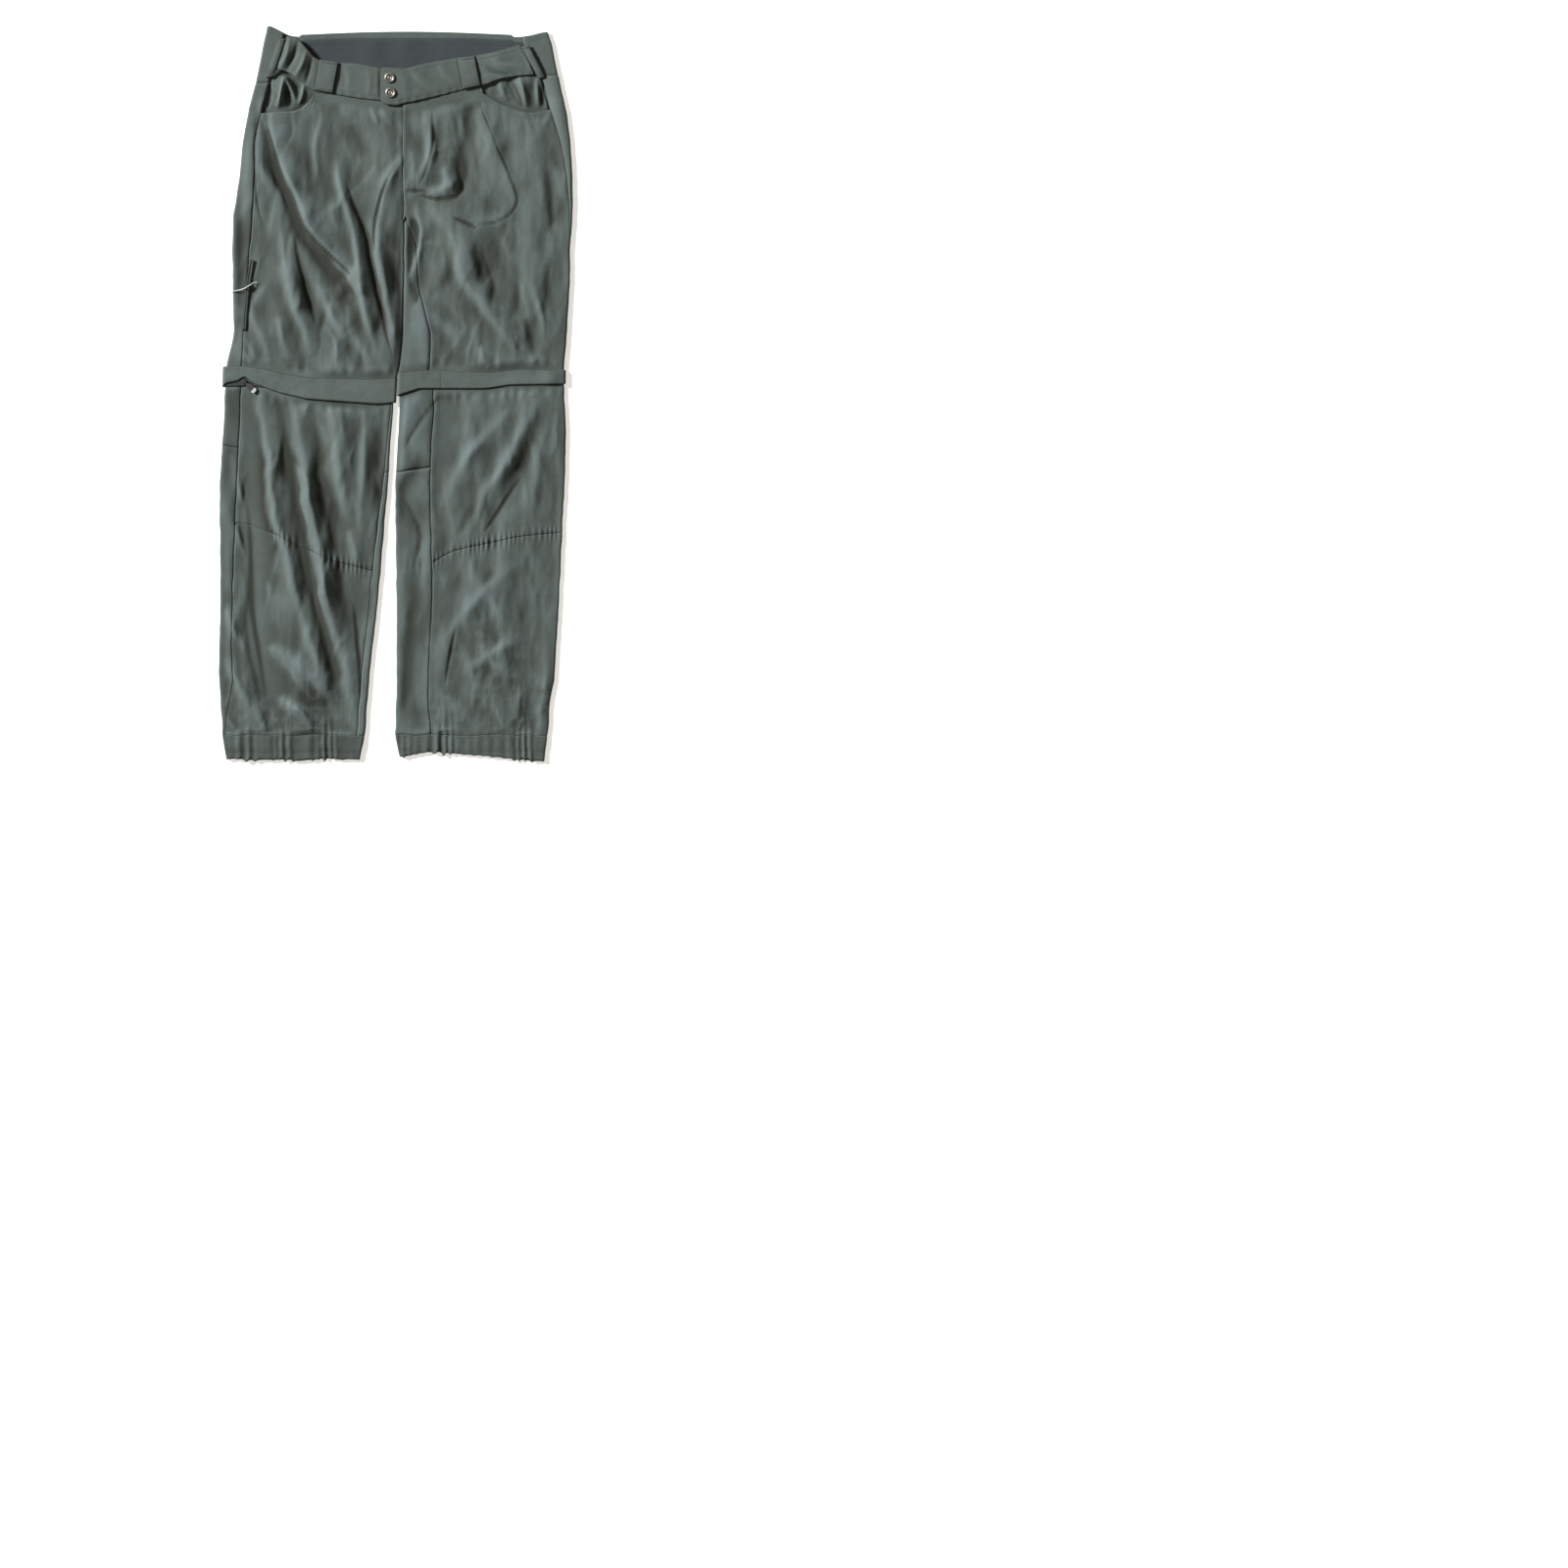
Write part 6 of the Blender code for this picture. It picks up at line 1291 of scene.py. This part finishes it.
def makeWaist():
    tube = tubes["waist", "both"] = FlatTube(waistRows, heights["thigh"])
    ends = {side: (lambda y, t=np.array(points).T: np.interp(y, t[1], t[0])) for side, points in slits.items()}
    start = lambda y: tube.quarter + np.abs(ends["right"](y) - tube.at("outer", y)) - tube.radius
    end = lambda y: -tube.half(y) - (tube.quarter + np.abs(tube.at("inner", y) - ends["left"](y)) - tube.radius)
    back = Panel("waistbandBack", "both", "waist", start, end, backBandTop,
                 flatEdge(lambda x: endsLine("back")(x) + cloth["gap"] / 2), ["outer", "inner"], -1)
    back.node = "waistband_back"
    back.build(*cloth["bandCells"], ((2.0,), (2.0,), (3.0, 8.0), (3.0,)))

    across, v = np.linspace(0, 1, 150), np.linspace(0, 1, 26)[:, None]
    y = 510.0 - 61.0 * v + 0 * across
    x = tube.at("outer", y) + 10 + (tube.at("inner", y) - tube.at("outer", y) - 20) * across
    y = y + v[::-1] * (np.minimum(backBandTop(x, 0), 512.5) - 7.5 - 510.0)
    waves = 0.35 * np.sin(x / 11 + 1.2 * np.sin(x / 31)) + wrinkle(x, y, "facing")
    Strip("waistbandFacing", "waistband_facing", x, y, waves, material="facing", sewn=(("top", 2.0), ("top", 12.0)),
          rests=("waistband_back",))

    for side, rows in frontBands.items():
        line = throughPoints(rows, 22)
        top, low = line[:, :2], line[:, 2:]
        if side == "left":  # the tab's rounded corners
            fromEnd = np.clip(tabCorner - (top[:, 0] - top[0, 0]), 0, tabCorner)
            cut = tabCorner - np.sqrt(tabCorner**2 - fromEnd**2)
            top, low = top - np.stack([0 * cut, cut], -1), low + np.stack([0 * cut, cut], -1)
        v = np.linspace(0, 1, 34)[:, None, None]
        plan = top * (1 - v) + low * v
        x, y = plan[..., 0], plan[..., 1]
        relief = creaseField(x, y, bandCreases[side]) + wrinkle(x, y, "band", "smallBand")
        relief += 0.25 * ripple(x, (v[..., 0] - 1) * 50, "band")
        fade = 0 * x + 1
        sewn = [("top", 2.0), ("top", 7.0), ("low", 2.2), ("low", 6.5)]
        if side == "left":
            sewn += [("start", 2.2)]
            fade = eased((x + 14) / 24)
        # painted shadow beside the tab's edge, on the right band
        shade = 0.9 * np.exp(-(((x + 21.2) / 1.5) ** 2)) if side == "right" else 0 * x
        for loopName, corners in beltLoops.items():
            if loopName.endswith(side.title()):
                for (x0, y0), (x1, y1) in (corners[1::2], corners[2::2]):  # a painted shadow line beside each edge
                    edgeX = x0 + (x1 - x0) * (y0 - y) / (y0 - y1)
                    shade = np.maximum(shade, 0.95 * np.exp(-(((x - edgeX) / 1.9) ** 2)))
        Strip("waistbandFront" + side.title(), "waistband_front_" + side, x, y, relief * fade, 1.7, sewn=sewn,
              rests=("front_" + side,), shade=shade, sink=0.8)

    for name, (node, *corners) in beltLoops.items():
        topStart, topEnd, lowStart, lowEnd = (np.array(corner) for corner in corners)
        narrow = abs(topEnd[0] - topStart[0]) < 15
        u = np.linspace(0, 1, 12 if narrow else 20)[None, :, None]
        v = np.linspace(0, 1, 44)[:, None, None]
        plan = (topStart * (1 - u) + topEnd * u) * (1 - v) + (lowStart * (1 - u) + lowEnd * u) * v
        x, y = plan[..., 0], plan[..., 1]
        crown = 0.5 * np.sin(math.pi * u[..., 0]) + wrinkle(x, y, "loop")
        loop = Strip(name, node, x, y, crown, 1.0, soften=14, sewn=(("start", 2.0), ("end", 2.0)),
                     rests=("waistband_front_right" if name.endswith("Right") else "waistband_front_left",))
        for edge in ("top", "low"):  # bar tacks
            for row in (2.4, 3.0, 3.6):
                loop.sew("barTacks", edge, row, 0.1, 0.9, 1.3)

    for side in ("right", "left"):
        tube, seam, pocket = tubes["thigh", side], edgeLine("waist"), edgeLine("pocket" + side.title(), 5.0)
        innerX = {"right": -108.0, "left": 116.0}[side]
        lows = np.array(sorted(row[2:] for row in frontBands[side][4 if side == "right" else 6:]))
        u, v = np.linspace(0, 1, 80)[None, :], np.linspace(0, 1, 46)[:, None]
        outseamX = lambda y: tube.at("outer", y) + tube.way * (tube.at("outSeam", y) + 2.5)
        x = outseamX(425.0) + (innerX - outseamX(425.0)) * u
        upper = np.minimum(np.interp(x, lows[:, 0], lows[:, 1]) + 4, 455)
        lower = np.minimum(pocket(x), seam(x) - 4) - 9
        y = upper + (lower - upper) * v
        x = outseamX(y) + (innerX - outseamX(y)) * u
        shows = eased((y - pocket(x) - 1.5) / 9) * eased(np.abs(x - innerX) / 16) * eased((upper - 1 - y) / 7)
        # painted shade on the facing just above the pocket's edge, on the right stronger towards the inner corner
        pocketShade = {"right": np.clip((x + 180) / 40, 0.4, 1.0), "left": 0.55}[side]
        folds = creaseField(x, y, facingCreases[side]) + wrinkle(x, y, "pocket", "smallPocket")
        shade = pocketShade * np.exp(-((np.clip(y - pocket(x), 0, None) / 11) ** 2))
        Strip("pocketFacing" + side.title(), "pocket_facing_" + side, x, y, np.maximum(folds, -1.5) * shows,
              rests=("front_" + side,), shade=shade)
    print("waist made,", pieceTotals["triangles"], "triangles")


makeWaist()


# Snaps, zips' small parts and the pull tab

snapProfile = ((0.0, 0.5), (1.5, 0.5), (1.7, 0.9), (2.6, 0.9), (2.9, 0.5), (3.9, 0.55), (4.3, 1.2), (4.8, 1.75),
               (5.5, 2.0), (6.3, 1.95), (6.9, 1.6), (7.3, 1.1), (7.45, 0.6), (7.5, 0.0))  # radius, height
pocketZip = {"line": ((-203.2, 190), (-208.6, 156), (-210.9, 139), (-214.4, 90)), "width": 6.0, "slot": 0.9,
             "teeth": 1.4}


def makeSnaps():
    # each is its profile turned once round its middle
    profile = throughPoints(snapProfile, 3)
    profile[:, 0] = np.clip(profile[:, 0], 0.02, 7.5)
    turn = np.linspace(0, 2 * math.pi, 49)[:-1]
    for node, name in (("snap_upper", "snapUpper"), ("snap_lower", "snapLower")):
        low, high = (np.array(corner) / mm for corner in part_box(node))
        middle = (low + high) / 2
        ring = np.stack([np.cos(turn), np.sin(turn)], -1)
        x = middle[0] + profile[:, None, 0] * ring[:, 0]
        y = middle[1] + profile[:, None, 0] * ring[:, 1]
        z = low[2] + profile[:, None, 1] + 0 * x
        points = np.stack([x, y, z], -1).reshape(-1, 3)
        rows, count = len(profile), len(turn)
        k = np.arange(rows - 1)[:, None] * count
        j, n = np.arange(count), (np.arange(count) + 1) % count
        faces = np.stack([k + j, k + count + j, k + count + n, k + n], -1).reshape(-1, 4).tolist()
        faces += [list(range(count)), [(rows - 1) * count + q for q in reversed(range(count))]]
        addPiece(name, points, faces, "snapMetal", node)


def makePocketZip():
    line = throughPoints(pocketZip["line"], 24)
    way = np.gradient(line, axis=0)
    way /= np.linalg.norm(way, axis=1)[:, None]
    aside = np.stack([way[:, 1], -way[:, 0]], -1)
    across = np.linspace(-0.5, 0.5, 15) * pocketZip["width"]
    plan = line[:, None] + aside[:, None] * across[None, :, None]
    x, y = plan[..., 0], plan[..., 1]
    openSlot = eased((y - 152) / 6)
    groove = -0.75 * np.exp(-((across / (0.45 + pocketZip["slot"] * openSlot)) ** 4))
    strip = Strip("pocketZip", "pocket_zip", x, y, groove, 0.9, "tape", 8, (), ("front_right",))
    closed = np.linspace(0.45, 0.98, 80)  # the part below the slider
    points, normals = strip.run(0 * closed + 0.5, closed)
    addTeeth("pocketZipTeeth", points, normals, pocketZip["teeth"])


def pullMaterial():
    # brown rubber, ribbed across, with a pale reflective tip
    pin, way, ribPitch, tipFrom = (-0.2137, 0.01613), (0.744, -0.668), 0.0016, 0.0155
    material, start, shader = startMaterial("pullRubber")
    place = start.node("TexCoord", output="Object")
    x, y = (start.node("SeparateXYZ", None, {0: place}, axis) for axis in ("X", "Y"))
    along = (x - pin[0]) * way[0] + (y - pin[1]) * way[1]
    tip = along.node("Math", {"operation": "GREATER_THAN"}, {0: along, 1: tipFrom})
    grain = start.node("TexNoise", None, {"Vector": place, "Scale": 900.0, "Detail": 3.0})
    rubber = grain.mixed((0.020, 0.013, 0.011, 1), (0.060, 0.040, 0.034, 1))
    pale = grain.mixed((0.42, 0.42, 0.42, 1), (0.62, 0.62, 0.60, 1))
    ribs = (along * (2 * math.pi / ribPitch)).sine() * (1 - tip)
    relief = start.node("Bump", None, {"Strength": 0.5, "Distance": 0.0003, "Height": ribs + grain})
    feed(shader, {"Base Color": tip.mixed(rubber, pale), "Roughness": 0.62 - 0.2 * tip + 0.1 * (grain - 0.5),
                  "Normal": relief})
    return material


def dressSolids():
    for node in ("knee_slider_right", "knee_slider_left", "pocket_zip_slider"):
        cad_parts[node].material_slots[0].material = materials["darkMetal"]
    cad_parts["knee_pull_right"].material_slots[0].material = pullMaterial()


makeSnaps()
makePocketZip()
dressSolids()


# Sewing that is drawn on the fronts: the fly and the pocket edges

drawnSewing = {
    "right": (((-190, 395.2), (-162.3, 396.9), (-141.0, 398.5), (-130.2, 403.9), (-120.2, 412.6), (-115, 421)),
              ((-190, 389.8), (-162.3, 391.4), (-139.8, 393.1), (-126.8, 399.4), (-115.8, 409), (-110, 418)),),
    "left": (((125, 424), (134.6, 417.6), (153.4, 406.5), (172.2, 399.0), (189.4, 395.2), (218, 400)),
             ((122, 418.5), (132.2, 412.9), (151.6, 401.5), (171.2, 393.6), (189.4, 389.8), (216, 394.6)),
             ((15.6, 409), (14.6, 380), (13.8, 340), (14.2, 296)),
             ((45, 411), (45.4, 380), (44, 350), (38, 332), (29, 316), (20, 298), (15.5, 288)),
             ((42.2, 411), (42.6, 380), (41.2, 351), (35.4, 333), (26.4, 317), (18.0, 300)),
             ((14, 286.5), (24, 286), (34, 286.8))),
}


def drawSewing():
    for side, lines in drawnSewing.items():
        panel = panels["front_" + side]
        tube = panel.tube
        for drawn in lines:
            line = throughPoints(drawn, 16)
            s = tube.quarter + np.abs(line[:, 0] - tube.at("outer", line[:, 1])) - tube.radius
            points, out, *_ = panel.surface(s, line[:, 1])
            addStitches("sewingFronts" + side.title(), points, out)


drawSewing()
finishStitches()

print("triangles", pieceTotals["triangles"])
